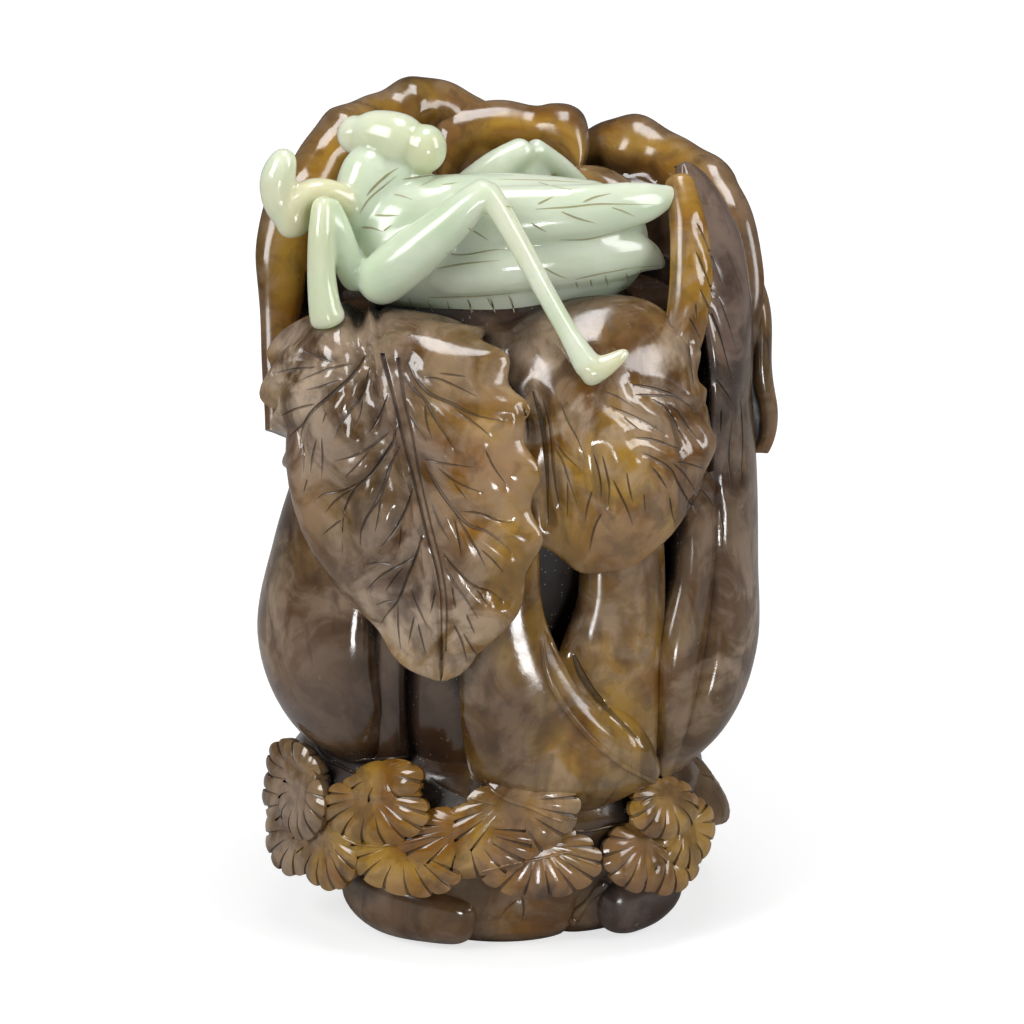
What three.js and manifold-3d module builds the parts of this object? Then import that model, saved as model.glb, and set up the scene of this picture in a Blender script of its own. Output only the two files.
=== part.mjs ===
// A carving worked from one pebble of two-coloured jade: a Chinese cabbage with a mantis on its crown.
// Millimetres, +Z up. The front faces -Y, and the origin is the centre of the foot on the ground.
import * as THREE from "three";
import { mergeVertices } from "three/addons/utils/BufferGeometryUtils.js";
import Module from "manifold-3d";

const wasm = await Module();
wasm.setup();

// Driving sizes.
const depthRatio = 0.86; // the pebble is a little flatter from front to back
const footRadius = 36.5;
const waistRadius = 31; // the bunch between the stalks and the bed of leaves
const bedRadius = 48; // the mass under the leaves of the bed
const coreRadius = 33; // the solid middle that shows as the dark floor of the gaps
const stalkFoot = 34; // height where the stalks leave the bed of leaves
const crownFloor = 126.7; // floor of the hollow between the outer leaves
const mantisSeat = new THREE.Vector3(0, -14, 142);

const { degToRad, clamp, lerp } = THREE.MathUtils;

// A point of the pebble by its azimuth in degrees (0 at the front, 90 at the right), radius and height.
function at(azimuth, radius, z) {
  const a = degToRad(azimuth);
  return [radius * Math.sin(a), -radius * depthRatio * Math.cos(a), z];
}

// The direction along the pebble's skin, to the right as seen from outside.
function across(azimuth, lift = 0) {
  const a = degToRad(azimuth);
  return [Math.cos(a), Math.sin(a), lift];
}

// The smooth value at s, from 0 to 1, of values spaced evenly.
function station(values, s) {
  if (typeof values === "number") return values;
  const x = clamp(s, 0, 1) * (values.length - 1);
  const i = Math.min(Math.floor(x), values.length - 2);
  const f = x - i;
  const [a, b, c, d] = [-1, 0, 1, 2].map((k) => values[clamp(i + k, 0, values.length - 1)]);
  return b + 0.5 * f * (c - a + f * (2 * a - 5 * b + 4 * c - d + f * (3 * (b - c) + d - a)));
}

// The smooth point at s of a list of points, or the one vector that stands for the whole length.
function along(points, s) {
  if (typeof points[0] === "number") return new THREE.Vector3(...points);
  return new THREE.Vector3(...[0, 1, 2].map((k) => station(points.map((p) => p[k]), s)));
}

function direction(points, s) {
  const step = 0.01;
  return along(points, s + step).sub(along(points, s - step)).normalize();
}

// A closed solid from a BufferGeometry.
function solid(geometry) {
  geometry.deleteAttribute("normal");
  geometry.deleteAttribute("uv");
  const merged = mergeVertices(geometry, 1e-4);
  const made = new wasm.Manifold(
    new wasm.Mesh({
      numProp: 3,
      vertProperties: merged.attributes.position.array,
      triVerts: new Uint32Array(merged.index.array),
    }),
  );
  if (made.volume() > 0) return made;
  const flipped = merged.index.array.slice().reverse();
  return new wasm.Manifold(
    new wasm.Mesh({
      numProp: 3,
      vertProperties: merged.attributes.position.array,
      triVerts: new Uint32Array(flipped),
    }),
  );
}

// A closed skin over rings of the same number of points, with a fan over each end.
function loft(rings) {
  const count = rings[0].length;
  const points = rings.flat();
  const centres = [rings[0], rings[rings.length - 1]].map((ring) =>
    ring.reduce((sum, p) => sum.add(p), new THREE.Vector3()).divideScalar(count),
  );
  const faces = [];
  for (let i = 0; i < rings.length - 1; i++) {
    for (let k = 0; k < count; k++) {
      const [a, b] = [i * count + k, i * count + ((k + 1) % count)];
      faces.push(a, b, b + count, a, b + count, a + count);
    }
  }
  const last = (rings.length - 1) * count;
  for (let k = 0; k < count; k++) {
    const next = (k + 1) % count;
    faces.push(points.length, next, k, points.length + 1, last + k, last + next);
  }
  const geometry = new THREE.BufferGeometry().setFromPoints([...points, ...centres]);
  geometry.setIndex(faces);
  return solid(geometry);
}

// Even steps from 0 to 1, closer together towards both ends.
function easedSteps(count) {
  return Array.from({ length: count + 1 }, (_, i) => (1 - Math.cos((Math.PI * i) / count)) / 2);
}

// A leaf or a stalk: a thick sheet that follows a rib, with its own half width, wrap and roll on each side.
// The rib runs from the tip or the foot, and the carved face looks along side x rib.
function blade({
  rib, side, left, right, thick, wrapLeft = 0, wrapRight = 0, roll = 1, tip = 0.06, swell = () => 0,
  steps = 8, sides = 6,
}) {
  const rings = easedSteps(steps).map((s) => {
    const centre = along(rib, s);
    const run = direction(rib, s);
    const face = along(side, s).cross(run).normalize();
    const out = run.clone().cross(face);
    const ease = Math.sqrt(1 - (1 - clamp(s / tip, 0.01, 1)) ** 2);
    const place = (t, top) => {
      const half = station(t < 0 ? left : right, s) * ease;
      const bend = degToRad(station(t < 0 ? wrapLeft : wrapRight, s)) * Math.sign(t);
      const point = centre.clone();
      const slices = 8;
      for (let i = 0; i < slices; i++) {
        const turn = bend * Math.pow((Math.abs(t) * (i + 0.5)) / slices, roll);
        const step = (half * t) / slices;
        point.addScaledVector(out, step * Math.cos(turn));
        point.addScaledVector(face, -step * Math.sin(turn));
      }
      const turn = bend * Math.pow(Math.abs(t), roll);
      const normal = face.clone().multiplyScalar(Math.cos(turn)).addScaledVector(out, Math.sin(turn));
      const round = Math.sqrt(Math.max(0, 1 - Math.pow(Math.abs(t), 4)));
      return point.addScaledVector(normal, (top * round * station(thick, s)) / 2 + swell(s, t));
    };
    const spread = Array.from({ length: sides }, (_, k) => -Math.cos((Math.PI * k) / (sides - 1)));
    const under = spread.slice(1, -1).reverse();
    return [...spread.map((t) => place(t, 1)), ...under.map((t) => place(t, -1))];
  });
  return loft(rings);
}

// A limb: an oval section that follows a spine and is rounded at both ends.
function limb({ spine, wide, deep = wide, up = [0, 1, 0], steps = 6, sides = 6 }) {
  const joints = spine.map((p) => new THREE.Vector3(...p));
  const length = joints.slice(1).reduce((sum, p, i) => sum + p.distanceTo(joints[i]), 0);
  const rings = easedSteps(steps).map((s) => {
    const centre = along(spine, s);
    const run = direction(spine, s);
    const level = run.clone().cross(along(up, s)).normalize();
    const high = level.clone().cross(run);
    const [w, d] = [station(wide, s), station(deep, s)];
    const inset = clamp((Math.min(s, 1 - s) * length) / Math.max(w, d), 0.02, 1);
    const round = Math.sqrt(1 - (1 - inset) ** 2);
    return Array.from({ length: sides }, (_, k) => {
      const a = (2 * Math.PI * k) / sides;
      return centre.clone()
        .addScaledVector(level, Math.cos(a) * w * round)
        .addScaledVector(high, Math.sin(a) * d * round);
    });
  });
  return loft(rings);
}

// A rounded lump with three half sizes.
function lump({ centre, half }) {
  const sphere = new THREE.SphereGeometry(1, 8, 5);
  return solid(sphere.scale(...half).translate(...centre));
}

function union(solids) {
  return wasm.Manifold.union(solids);
}

// The solid middle: the foot with its ring of pads, the mass of the bed and the core between the stalks.
function middle() {
  const profile = [
    [footRadius - 5, 0], [footRadius, 3.5], [footRadius + 1.5, 9], [bedRadius - 4, 14], [bedRadius, 20],
    [bedRadius - 1, 29], [bedRadius - 7, 37], [waistRadius, stalkFoot + 10], [coreRadius, 64],
    [coreRadius + 5, 108], [coreRadius + 3, 123], [coreRadius, crownFloor],
  ];
  const around = 24;
  const pads = 6;
  const padTop = 10;
  const padDepth = 4; // of the valleys between the pads
  const frontReach = 3.5; // the foot is longer from front to back
  const waistTop = 40;
  const backCut = 4; // the bed's mass is smaller at the back right
  const radiusAt = (radius, z, a) => {
    const valley = 1 - Math.abs(Math.cos((pads / 2) * (a + 0.15))) ** 0.5;
    if (z < padTop) return radius - padDepth * valley + frontReach * Math.cos(a) ** 2;
    return z < waistTop ? radius - backCut * (1 - Math.cos(a + 0.9)) : radius;
  };
  return loft(
    profile.map(([radius, z]) =>
      Array.from({ length: around }, (_, k) => {
        const azimuth = (360 * k) / around;
        return new THREE.Vector3(...at(azimuth, radiusAt(radius, z, degToRad(azimuth)), z));
      }),
    ),
  );
}

// The large pads at the front of the foot.
const footPads = {
  padLeft: {
    spine: [[-32, -19, 10], [-24, -26.5, 8], [-14, -31.5, 7.3], [-6, -33, 5.8]],
    wide: [6, 7.6, 6.9, 5.2], deep: [5, 5.5, 5, 4], steps: 4, sides: 7,
  },
  padMiddle: { spine: [[0, -31, 11], [4, -34, 7.2]], wide: [6.5, 6.8], deep: 5, steps: 3, sides: 7 },
  padRight: {
    spine: [[33, -15, 9.5], [27, -23, 8], [18, -29.5, 7.2]], wide: [6, 7.4, 6.8], deep: [5, 5.5, 5],
    steps: 4, sides: 7,
  },
};

// The stalks, from the foot up: each is a plump spoon with a thin edge.
const stalks = {
  leftBulb: {
    rib: [
      at(-52, 32, 34), at(-58, 42, 45), at(-60, 46.5, 60), at(-60, 44, 78), at(-58, 39.5, 97),
      at(-56, 36, 112),
    ],
    side: across(-60), left: [9, 17, 20, 18, 15, 12], right: [9, 17, 19, 17, 14, 12],
    wrapLeft: 62, wrapRight: 48, thick: [6, 14, 16, 14, 12, 10], steps: 8,
  },
  frontSheath: {
    rib: [[12, -31, 30], [9, -37, 41], [4, -39, 54], [0, -38.5, 70], [0, -36.5, 86], [1, -33, 104]],
    side: across(4), left: [9, 17, 14, 9, 8, 9], right: [20, 19, 11.5, 7.5, 6, 7],
    wrapLeft: 48, wrapRight: [24, 24, 18, 14, 14, 14], thick: [6, 12, 12, 10, 9, 8], steps: 9,
  },
  frontHeart: {
    rib: [[27, -26, 34], [24, -29, 46], [22, -31, 60], [21, -31, 76], [20, -29, 94]],
    side: across(30), left: [4, 11, 15, 8, 8], right: [3, 7, 10, 12, 12],
    wrapLeft: 10, wrapRight: 24, thick: [5, 9, 9, 8, 8], steps: 7,
  },
  rightRib: {
    rib: [[30, -24, 34], [33, -25, 46], [35, -24, 60], [37, -21, 76], [37, -18, 96]],
    side: across(52), left: [3, 6, 8, 6, 5], right: [4, 7, 8, 8, 8],
    wrapLeft: 12, wrapRight: 20, thick: [5, 9, 9, 8, 8], steps: 6, sides: 5,
  },
  rightSheath: {
    rib: [[31, -19, 33], [40, -17, 45], [44.5, -14, 58], [45.5, -11, 74], [45.5, -9, 92], [44, -7, 112]],
    side: across(78), left: [8, 13, 14, 13, 12, 11], right: [8, 17, 19, 18, 17, 15],
    wrapLeft: 30, wrapRight: 52, thick: [5, 10, 11, 9, 8, 8], steps: 9,
  },
  leftSliver: {
    rib: [[-23, -25, 38], [-24, -27.5, 48], [-24, -28.5, 60], [-23, -27, 78]],
    side: across(-36), left: 4, right: 4, wrapLeft: 40, wrapRight: 40, thick: 8, sides: 4, steps: 5,
  },
  leftHeart: {
    rib: [[-12, -25, 36], [-13, -28, 48], [-13, -28, 62], [-13, -27, 78]],
    side: across(-22), left: 8, right: 9, wrapLeft: 40, wrapRight: 30, thick: 9, sides: 5, steps: 5,
  },
};

// The stalks that the back shows, which widen again into plain upright leaves.
for (const [name, azimuth, reach, half, top] of [
  ["backRight", 118, 42, 20, 131], ["backMiddle", 165, 44, 21, 133.6], ["backLeft", 210, 42, 20, 129.4],
  ["backSide", 254, 42, 18, 132.7],
]) {
  const width = [9, half - 2, half, half - 4, half - 5, half - 2, half];
  stalks[name] = {
    rib: [
      at(azimuth, reach - 12, stalkFoot), at(azimuth, reach - 2, 46), at(azimuth, reach, 62),
      at(azimuth, reach - 2, 80), at(azimuth, reach - 4, 98), at(azimuth, reach - 3, 116),
      at(azimuth, reach - 3, top),
    ],
    side: across(azimuth), left: width, right: width,
    wrapLeft: 50, wrapRight: 50, thick: [6, 13, 14, 12, 10, 8, 6], steps: 7, sides: 5,
  };
}

// The two leaves that fall over the front. Their ribs run from the tip up to the fold and inwards.
const fallingLeaves = {
  leftLeaf: {
    rib: [
      [-13, -43, 61.5], [-15, -45, 80], [-18, -44.5, 96], [-22, -41.5, 111], [-25.5, -34.5, 123.5],
      [-27, -25, 127.5], [-27, -15, 125.4],
    ],
    side: across(-14), left: [13, 25, 32, 31, 27, 21, 15], right: [10, 20, 24, 25.5, 22, 19, 16],
    wrapLeft: [20, 48, 58, 62, 56, 44, 40], wrapRight: [16, 24, 26, 24, 22, 20, 20],
    thick: [2.4, 4, 4.6, 5, 5.4, 6, 6], tip: 0.2, steps: 11, sides: 8,
    swell: (s, t) => ribGroove(s, t, 1.5),
  },
  rightLeaf: {
    rib: [
      [24, -35.5, 82.5], [20, -39, 93], [14, -39.5, 106], [9, -35.5, 118], [5, -28, 125],
      [2, -20, 124.6],
    ],
    side: [0.86, 0.1, 0.46], left: [16, 15, 14, 13, 10, 8], right: [20, 27, 30, 31, 25, 16],
    wrapLeft: 12, wrapRight: [24, 38, 44, 46, 42, 30], thick: [2.4, 4, 4.6, 5, 5.6, 6],
    tip: 0.28, steps: 10, sides: 8,
    swell: (s, t) => 1.4 * Math.sin(Math.PI * clamp(s * 1.25, 0, 1)) * Math.cos(4.2 * (t - 0.1)),
  },
  backLeaf: {
    rib: [at(146, 50, 92), at(149, 51, 106), at(152, 49, 119), at(154, 44, 130), at(156, 37, 136)],
    side: across(150), left: [10, 18, 21, 20, 15], right: [10, 19, 22, 20, 15],
    wrapLeft: 34, wrapRight: 34, thick: [3, 5, 6, 6, 6], tip: 0.3, steps: 6, sides: 5,
  },
  backSideLeaf: {
    rib: [at(226, 49, 78), at(223, 51, 95), at(220, 50, 112), at(218, 46, 126), at(216, 38, 133)],
    side: across(222), left: [11, 19, 21, 19, 14], right: [11, 19, 21, 19, 14],
    wrapLeft: 34, wrapRight: 34, thick: [3, 5, 6, 6, 6], tip: 0.3, steps: 6, sides: 5,
  },
};

// The stone left under the falling leaves, which joins them to the stalks.
const underLeaves = {
  underLeft: {
    spine: [[-17, -31, 68], [-19, -32, 78], [-22, -31, 92], [-26, -27, 108], [-27, -18, 121]],
    wide: [7, 14, 19, 18, 13], deep: [6, 10, 11.5, 11, 9], steps: 6, sides: 8,
  },
  underRight: {
    spine: [[22, -26, 86], [25, -26, 96], [24, -25, 108], [17, -20, 119]],
    wide: [9, 13, 15, 11], deep: [6, 9, 9, 8], steps: 6, sides: 8,
  },
};

// A shallow valley along a leaf's rib.
function ribGroove(s, t, depth) {
  return -depth * Math.exp(-((t / 0.12) ** 2)) * Math.sin(Math.PI * clamp(s, 0, 1));
}

// The tall leaf that stands at the right, and the thick edge that rolls forward from it.
function uprightLeaf() {
  const leaf = blade({
    rib: [
      [43, -12, 84], [45, -10.5, 104], [45, -9, 122], [42, -7.5, 138], [37, -6, 149], [33.5, -6, 154.5],
    ],
    side: [across(72), across(72), across(70), across(60), across(50), across(45)],
    left: [8, 11, 12.5, 11, 7, 0.4], right: [9, 12, 13, 11, 6, 0.4],
    wrapLeft: 20, wrapRight: 34, thick: [5, 5, 5, 4.6, 4, 3], steps: 9,
  });
  const edge = limb({
    spine: [[31, -24, 113], [35, -22.5, 122], [37.5, -20, 133], [36.5, -16, 144], [33.5, -9, 153]],
    wide: [2.6, 4, 4.4, 3.8, 2.8], deep: [2.4, 3, 3.4, 3, 2.6], up: [0.4, -1, 0],
  });
  return [leaf, edge];
}

// The leaves that stand round the crown. Their ribs run round the pebble, and the rim rolls outwards.
const crownLeaves = {
  crownLeft: {
    around: [-184, -72], radius: [38, 38, 37.5, 37, 38, 41.5, 48], rim: [154, 160, 161, 159, 153, 138, 112],
    drop: [10, 30, 34, 34, 32, 28, 18], waves: 4.3, depth: 0.8, thick: [4, 5.5, 6, 6, 6, 5.5, 4], steps: 14,
  },
  crownRight: {
    around: [88, 166], radius: [43, 43, 43, 43, 42, 40], rim: [110, 138, 148, 152, 153, 152],
    drop: [12, 26, 32, 34, 32, 12], waves: 3.1, depth: 0.8, thick: [4, 5.5, 6, 6, 5.5, 4], steps: 11,
  },
  crownBack: {
    around: [154, 203], radius: [34, 34, 34, 33], rim: [154, 157, 157, 152],
    drop: [10, 24, 24, 10], waves: 1.7, depth: 0.8, thick: [3.5, 5, 5, 3.5], steps: 8,
  },
  heartBack: {
    around: [124, 190], radius: [26.5, 27, 27, 26], rim: [140.1, 146.2, 144.1, 137.2],
    drop: [8, 17.4, 17.6, 8], waves: 1.4, depth: 0.6, thick: [3, 4, 4, 3], steps: 5,
  },
};

function crownLeaf({ around, radius, rim, drop, waves, depth, thick, steps }) {
  const lip = 11; // from the rib up to the rim
  const lipStep = 1.2; // the rim stands this far out from the wall of the hollow
  const places = radius.map((_, i) => i / (radius.length - 1));
  const azimuthAt = (s) => lerp(around[0], around[1], s);
  return blade({
    rib: places.map((s) => at(azimuthAt(s), station(radius, s) - 2, station(rim, s) - lip)),
    side: places.map((s) => {
      const [x, y] = at(azimuthAt(s), 0.22, 0);
      return [x, y, 1];
    }),
    left: drop, right: [5, ...Array(4).fill(lip + 3), 5],
    wrapLeft: -40, wrapRight: 80, roll: 2.6, thick, steps, sides: 6,
    swell: (s, t) =>
      depth * clamp(t + 0.2, 0, 1) * Math.sin(2 * Math.PI * waves * s) + lipStep * clamp(3 * t, 0, 1),
  });
}

// The lobe of the crown's right leaf that hangs down outside.
function hangingLobe() {
  return blade({
    rib: [[51, 1, 93.5], [51.6, 3, 104], [50.8, 5, 116], [48, 8, 128], [45, 11, 138]],
    side: across(96), left: [0.6, 6, 7, 7, 6], right: [0.6, 9, 11, 12, 12],
    wrapLeft: 10, wrapRight: 30, thick: [3, 4.4, 4.6, 4.6, 5], steps: 7, sides: 5,
    swell: (s) => 0.8 * Math.sin(s * 12),
  });
}

// The bed: fans of rounded lobes, laid like shingles over the mass of the bed.
// Each is [root, tip, half width, lobes], and the rest of the ring repeats the same fans in two tiers.
const bedFans = [
  [[-39.1, -24.1, 32.3], [-49, -13.9, 32.6], 7.5, 5], [[-40.2, -24, 28.3], [-50, -12.8, 24.5], 8, 5],
  [[-39.1, -26.1, 24.2], [-49.2, -15.9, 15.1], 9, 6], [[-40.7, -24, 32.7], [-42.3, -26, 20.6], 8.5, 6],
  [[-35.5, -29.4, 25], [-39.3, -29.3, 12.5], 10.5, 6], [[-24.5, -34, 39.2], [-24, -37.5, 32.7], 9.5, 5],
  [[-26.4, -34.3, 35.1], [-26.4, -37.7, 24.2], 13, 6], [[-20.3, -37.9, 26.4], [-22.1, -40.3, 14.8], 13.5, 6],
  [[-8.2, -40.7, 31], [-8.6, -43.7, 19.7], 14, 6], [[-0.5, -40.1, 36.4], [4.3, -43.5, 23.7], 13.5, 6],
  [[6, -40.8, 27.3], [5.5, -43.9, 15.4], 13, 6], [[30.5, -28.2, 32.5], [31.8, -32, 23.1], 9.5, 6],
  [[26.4, -32, 23.9], [24.6, -37.2, 13.9], 9, 6], [[30.8, -28.9, 21.6], [34.8, -30.6, 11.5], 9, 6],
  [[33.8, -27.1, 24.8], [40.2, -24.7, 17.2], 8, 6],
];
const jaggedLeaf = [[33, -12, 31], [45, -11, 19], 8, 3];
for (const azimuth of [104, 138, 172, 206]) {
  bedFans.push([at(azimuth, 38, 26), at(azimuth + 2, 45, 16), 12, 5]);
}
for (const azimuth of [121, 155, 189, 223, 255]) {
  bedFans.push([at(azimuth, 39, 18), at(azimuth - 2, 44, 7), 12, 5]);
}

// A domed fan with a scalloped edge. Its lobes leave a notch of the given depth between them.
function fan([root, tip, half, lobes], notch = 0.12, dome = 2) {
  const sunk = 1.6; // the edge lies this far below the fan's middle line
  const top = 0.62; // the top is this much smaller than the edge
  const [start, end] = [new THREE.Vector3(...root), new THREE.Vector3(...tip)];
  const run = end.clone().sub(start);
  const reach = run.length() * 0.62; // more than half, so that it covers the root
  run.normalize();
  const outwards = new THREE.Vector3(end.x, end.y / depthRatio, 0);
  const level = run.clone().cross(outwards).normalize();
  const normal = level.clone().cross(run);
  const middle = end.clone().addScaledVector(run, -reach);
  const ring = (size, lift) =>
    Array.from({ length: 2 * lobes }, (_, k) => {
      const a = (Math.PI * k) / lobes;
      const radius = size * (1 - (k % 2 ? notch : 0));
      return middle.clone()
        .addScaledVector(run, Math.cos(a) * radius * reach)
        .addScaledVector(level, Math.sin(a) * radius * half)
        .addScaledVector(normal, lift);
    });
  return loft([ring(1, -sunk), ring(top, dome)]);
}

// The mantis, in millimetres from its seat on the crown. It looks up and to the left.
const mantis = {
  trunk: {
    spine: [
      [-32, 1, 0.5], [-23, 0, -0.8], [-12, 0, -1.9], [0, 0, -2.3], [12, 1, -2], [20, 3, -0.8], [27, 4, 1],
    ],
    wide: [8, 12.5, 14.2, 14.8, 13.6, 11.4, 7], deep: [6, 9, 10.5, 10.5, 9, 7.5, 5], steps: 9, sides: 10,
  },
  upperWing: {
    spine: [
      [34, 2.5, 8.6], [27, -1.5, 7.4], [18, -4.6, 6.6], [8, -6.6, 6.2], [-3, -7.4, 5.6], [-14, -6.4, 4.6],
    ],
    wide: [0.8, 3.9, 5, 5.6, 6, 5.6], deep: [0.8, 2.4, 3.4, 3.8, 3.8, 3.4], up: [0, 1, -0.35], steps: 7,
  },
  lowerWing: {
    spine: [
      [30.6, 2, -6.4], [25.5, -1, -3.4], [17, -4.8, -3], [7, -7, -3.4], [-5, -8.4, -4.4], [-16, -7.4, -5.4],
    ],
    wide: [0.8, 4, 5.2, 5.4, 5.2, 4.4], deep: [0.8, 2.6, 3.4, 3.8, 3.6, 3], steps: 7,
  },
  neck: {
    spine: [[-28, -1, -2], [-28, 0, 5], [-27.2, 1, 11.5], [-25, 2.5, 16.5]],
    wide: [6.4, 6.4, 5.8, 5], deep: [5.5, 5.5, 5, 4.5], steps: 5, sides: 8,
  },
  jaw: {
    spine: [[-27, 1, 8], [-22, 1.4, 11.4], [-17.6, 1, 14]],
    wide: [5.4, 5, 3.4], deep: [5, 4.6, 3.4], steps: 3, sides: 8,
  },
  head: {
    spine: [[-30, 6, 18.2], [-26, 4.5, 19.2], [-21, 2.6, 18.6], [-16.4, 0.8, 17]],
    wide: [3.6, 4.8, 5.2, 4.4], deep: [3.4, 4.4, 5, 4.2], steps: 5, sides: 8,
  },
  nearThigh: {
    spine: [
      [-27.6, -9, -8.8], [-20.6, -12, -2.4], [-12.9, -13.4, 4.5], [-7.2, -14, 9.8], [-3, -13.5, 13.6],
    ],
    wide: [4.8, 5.2, 4.4, 3.4, 2.4], deep: [4.6, 5, 4.4, 3.6, 2.8], steps: 6, sides: 8,
  },
  nearShin: {
    spine: [[-4.6, -13.5, 13.6], [1.2, -16.5, 4.4], [7, -19.5, -5.8], [12, -22, -14.2], [16, -24, -20.4]],
    wide: [2.4, 2.2, 2, 2.1, 3], deep: [2.6, 2.6, 2.4, 2.4, 2.8], steps: 7,
  },
  nearToe: {
    spine: [[13.8, -23.8, -21.4], [18.4, -23.6, -19.4], [23, -22, -16.8]], wide: [3, 2.2, 1], steps: 4,
  },
  middleThigh: {
    spine: [[-28.6, -7, -8], [-31, -9, -2.4], [-33, -10, 4.4], [-35, -10, 9.8]],
    wide: [3.2, 3.2, 2.9, 2.3], steps: 5, up: [0, 1, 0.2],
  },
  middleShin: {
    spine: [[-35.2, -10, 10.4], [-35.7, -12.5, 4], [-35.8, -14, -4], [-35.2, -15, -10], [-34.2, -15, -14]],
    wide: [2.4, 2.8, 3, 3.4, 4.2], deep: [2.4, 2.8, 2.8, 3, 3.4],
  },
  foreArm: {
    spine: [[-29, -2, 6], [-34, -4, 9.4], [-38.4, -5, 9.6], [-41.4, -6, 6], [-40.4, -6, 1.6]],
    wide: [3.2, 2.8, 3, 3.6, 3.6], deep: [3.2, 3, 3.4, 3.6, 3.4],
  },
  claw: {
    spine: [[-41.6, -5.5, 4], [-44.4, -6, 8.6], [-44.2, -5.5, 13.4], [-42.2, -4.6, 18.4]],
    wide: [3, 3.2, 3.6, 2.2], deep: [2.6, 2.6, 3, 2.2], steps: 5,
  },
  farThigh: {
    spine: [[-12, 7, 4], [-3, 12, 10.4], [4.3, 16, 14.4]], wide: [3.8, 3.6, 2.6], deep: 3, steps: 4,
  },
  farShin: {
    spine: [[4, 16, 14.4], [11, 20, 8.6], [18, 24, 0], [22, 27, -8]], wide: [2.4, 2.2, 2, 2.2], steps: 5,
  },
  farWeb: {
    spine: [[4.5, 14.4, 0], [4.4, 15.4, 7], [4.3, 16, 13.4]],
    wide: [7, 4.8, 2.2], deep: [2.2, 2.2, 2], up: [-0.5, 0.87, 0.1], steps: 3, sides: 6,
  },
};

const mantisEyes = {
  farEye: { centre: [-29.8, 6.2, 18.8], half: [3.6, 3.6, 3.9] },
  nearEye: { centre: [-16, 0.4, 17.4], half: [4.2, 4.2, 4.8] },
};

function mantisSolids() {
  const limbs = Object.values(mantis).map(limb);
  const lumps = Object.values(mantisEyes).map(lump);
  const { x, y, z } = mantisSeat;
  return union([...limbs, ...lumps]).translate(x, y, z);
}

// The mass left under the mantis, which holds it to the crown.
function mantisSaddle() {
  return limb({
    spine: [[-26, -12, 128], [-8, -13, 126], [12, -12, 126], [24, -8, 128]],
    wide: [7, 11, 11, 6], deep: [6, 9, 9, 6],
  });
}

function carving() {
  return union([
    middle(),
    mantisSaddle(),
    mantisSolids(),
    hangingLobe(),
    ...uprightLeaf(),
    ...Object.values(stalks).map(blade),
    ...Object.values(fallingLeaves).map(blade),
    ...Object.values(underLeaves).map(limb),
    ...Object.values(footPads).map(limb),
    ...Object.values(crownLeaves).map(crownLeaf),
    ...bedFans.map((spec) => fan(spec)),
    fan(jaggedLeaf, 0.3, 1.5),
  ]);
}

// The solid as a three.js geometry.
function geometryOf(made) {
  const { vertProperties, triVerts } = made.getMesh();
  const geometry = new THREE.BufferGeometry();
  geometry.setAttribute("position", new THREE.BufferAttribute(vertProperties, 3));
  geometry.setIndex(new THREE.BufferAttribute(triVerts, 1));
  return geometry;
}

const jade = new THREE.MeshStandardMaterial({ color: 0x5d4a38, roughness: 0.22, metalness: 0 });

const carvingMesh = new THREE.Mesh(geometryOf(carving()), jade);
carvingMesh.name = "cabbage_and_mantis_carving";

const group = new THREE.Group();
group.add(carvingMesh);

export default group;
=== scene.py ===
# A jade carving of a Chinese cabbage with a mantis on its crown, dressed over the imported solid.
# Shapes are worked out in millimetres, then scaled to metres when they become meshes.
import math

import bpy
import numpy as np
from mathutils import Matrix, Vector
from mathutils.bvhtree import BVHTree
from mathutils.kdtree import KDTree


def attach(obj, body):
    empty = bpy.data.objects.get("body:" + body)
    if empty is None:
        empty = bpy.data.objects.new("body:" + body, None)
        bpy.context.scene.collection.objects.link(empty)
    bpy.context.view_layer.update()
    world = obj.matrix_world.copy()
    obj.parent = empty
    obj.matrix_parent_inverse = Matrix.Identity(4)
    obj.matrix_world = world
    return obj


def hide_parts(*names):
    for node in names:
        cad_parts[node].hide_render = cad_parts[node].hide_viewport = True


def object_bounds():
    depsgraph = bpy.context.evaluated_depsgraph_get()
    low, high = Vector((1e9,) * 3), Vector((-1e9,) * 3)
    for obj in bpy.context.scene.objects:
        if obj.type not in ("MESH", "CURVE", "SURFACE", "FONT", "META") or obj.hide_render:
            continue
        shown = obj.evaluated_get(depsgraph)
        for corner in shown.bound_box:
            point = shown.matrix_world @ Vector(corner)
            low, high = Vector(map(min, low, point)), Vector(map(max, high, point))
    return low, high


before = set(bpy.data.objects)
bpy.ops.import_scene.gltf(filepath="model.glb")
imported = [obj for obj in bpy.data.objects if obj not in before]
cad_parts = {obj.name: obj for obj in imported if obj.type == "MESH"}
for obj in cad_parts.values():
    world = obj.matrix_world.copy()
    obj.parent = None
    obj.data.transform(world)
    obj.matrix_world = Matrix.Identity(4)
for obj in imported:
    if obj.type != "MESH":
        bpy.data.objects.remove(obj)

cadBox = [[float(v) for v in corner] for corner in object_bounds()]
mm = 0.001
ovalShare = 0.86  # depth of the pebble over its width
fineness = 1.0  # share of the full number of steps in every shape
print("frame loaded")


def newObject(name, data):
    obj = bpy.data.objects.new(name, data)
    bpy.context.scene.collection.objects.link(obj)
    return obj


# The camera stands where the photographer stood: a long lens, a little above the carving.
photoView = {"target": (0.8, 0.0, 81.3), "distance": 800.0, "elevation": 18.0, "lens": 139.2}
lift = math.radians(photoView["elevation"])
viewBack = np.array([0.0, -math.cos(lift), math.sin(lift)])
viewUp = np.array([0.0, math.sin(lift), math.cos(lift)])
viewRight = np.array([1.0, 0.0, 0.0])
eye = np.array(photoView["target"]) + viewBack * photoView["distance"]

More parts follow.
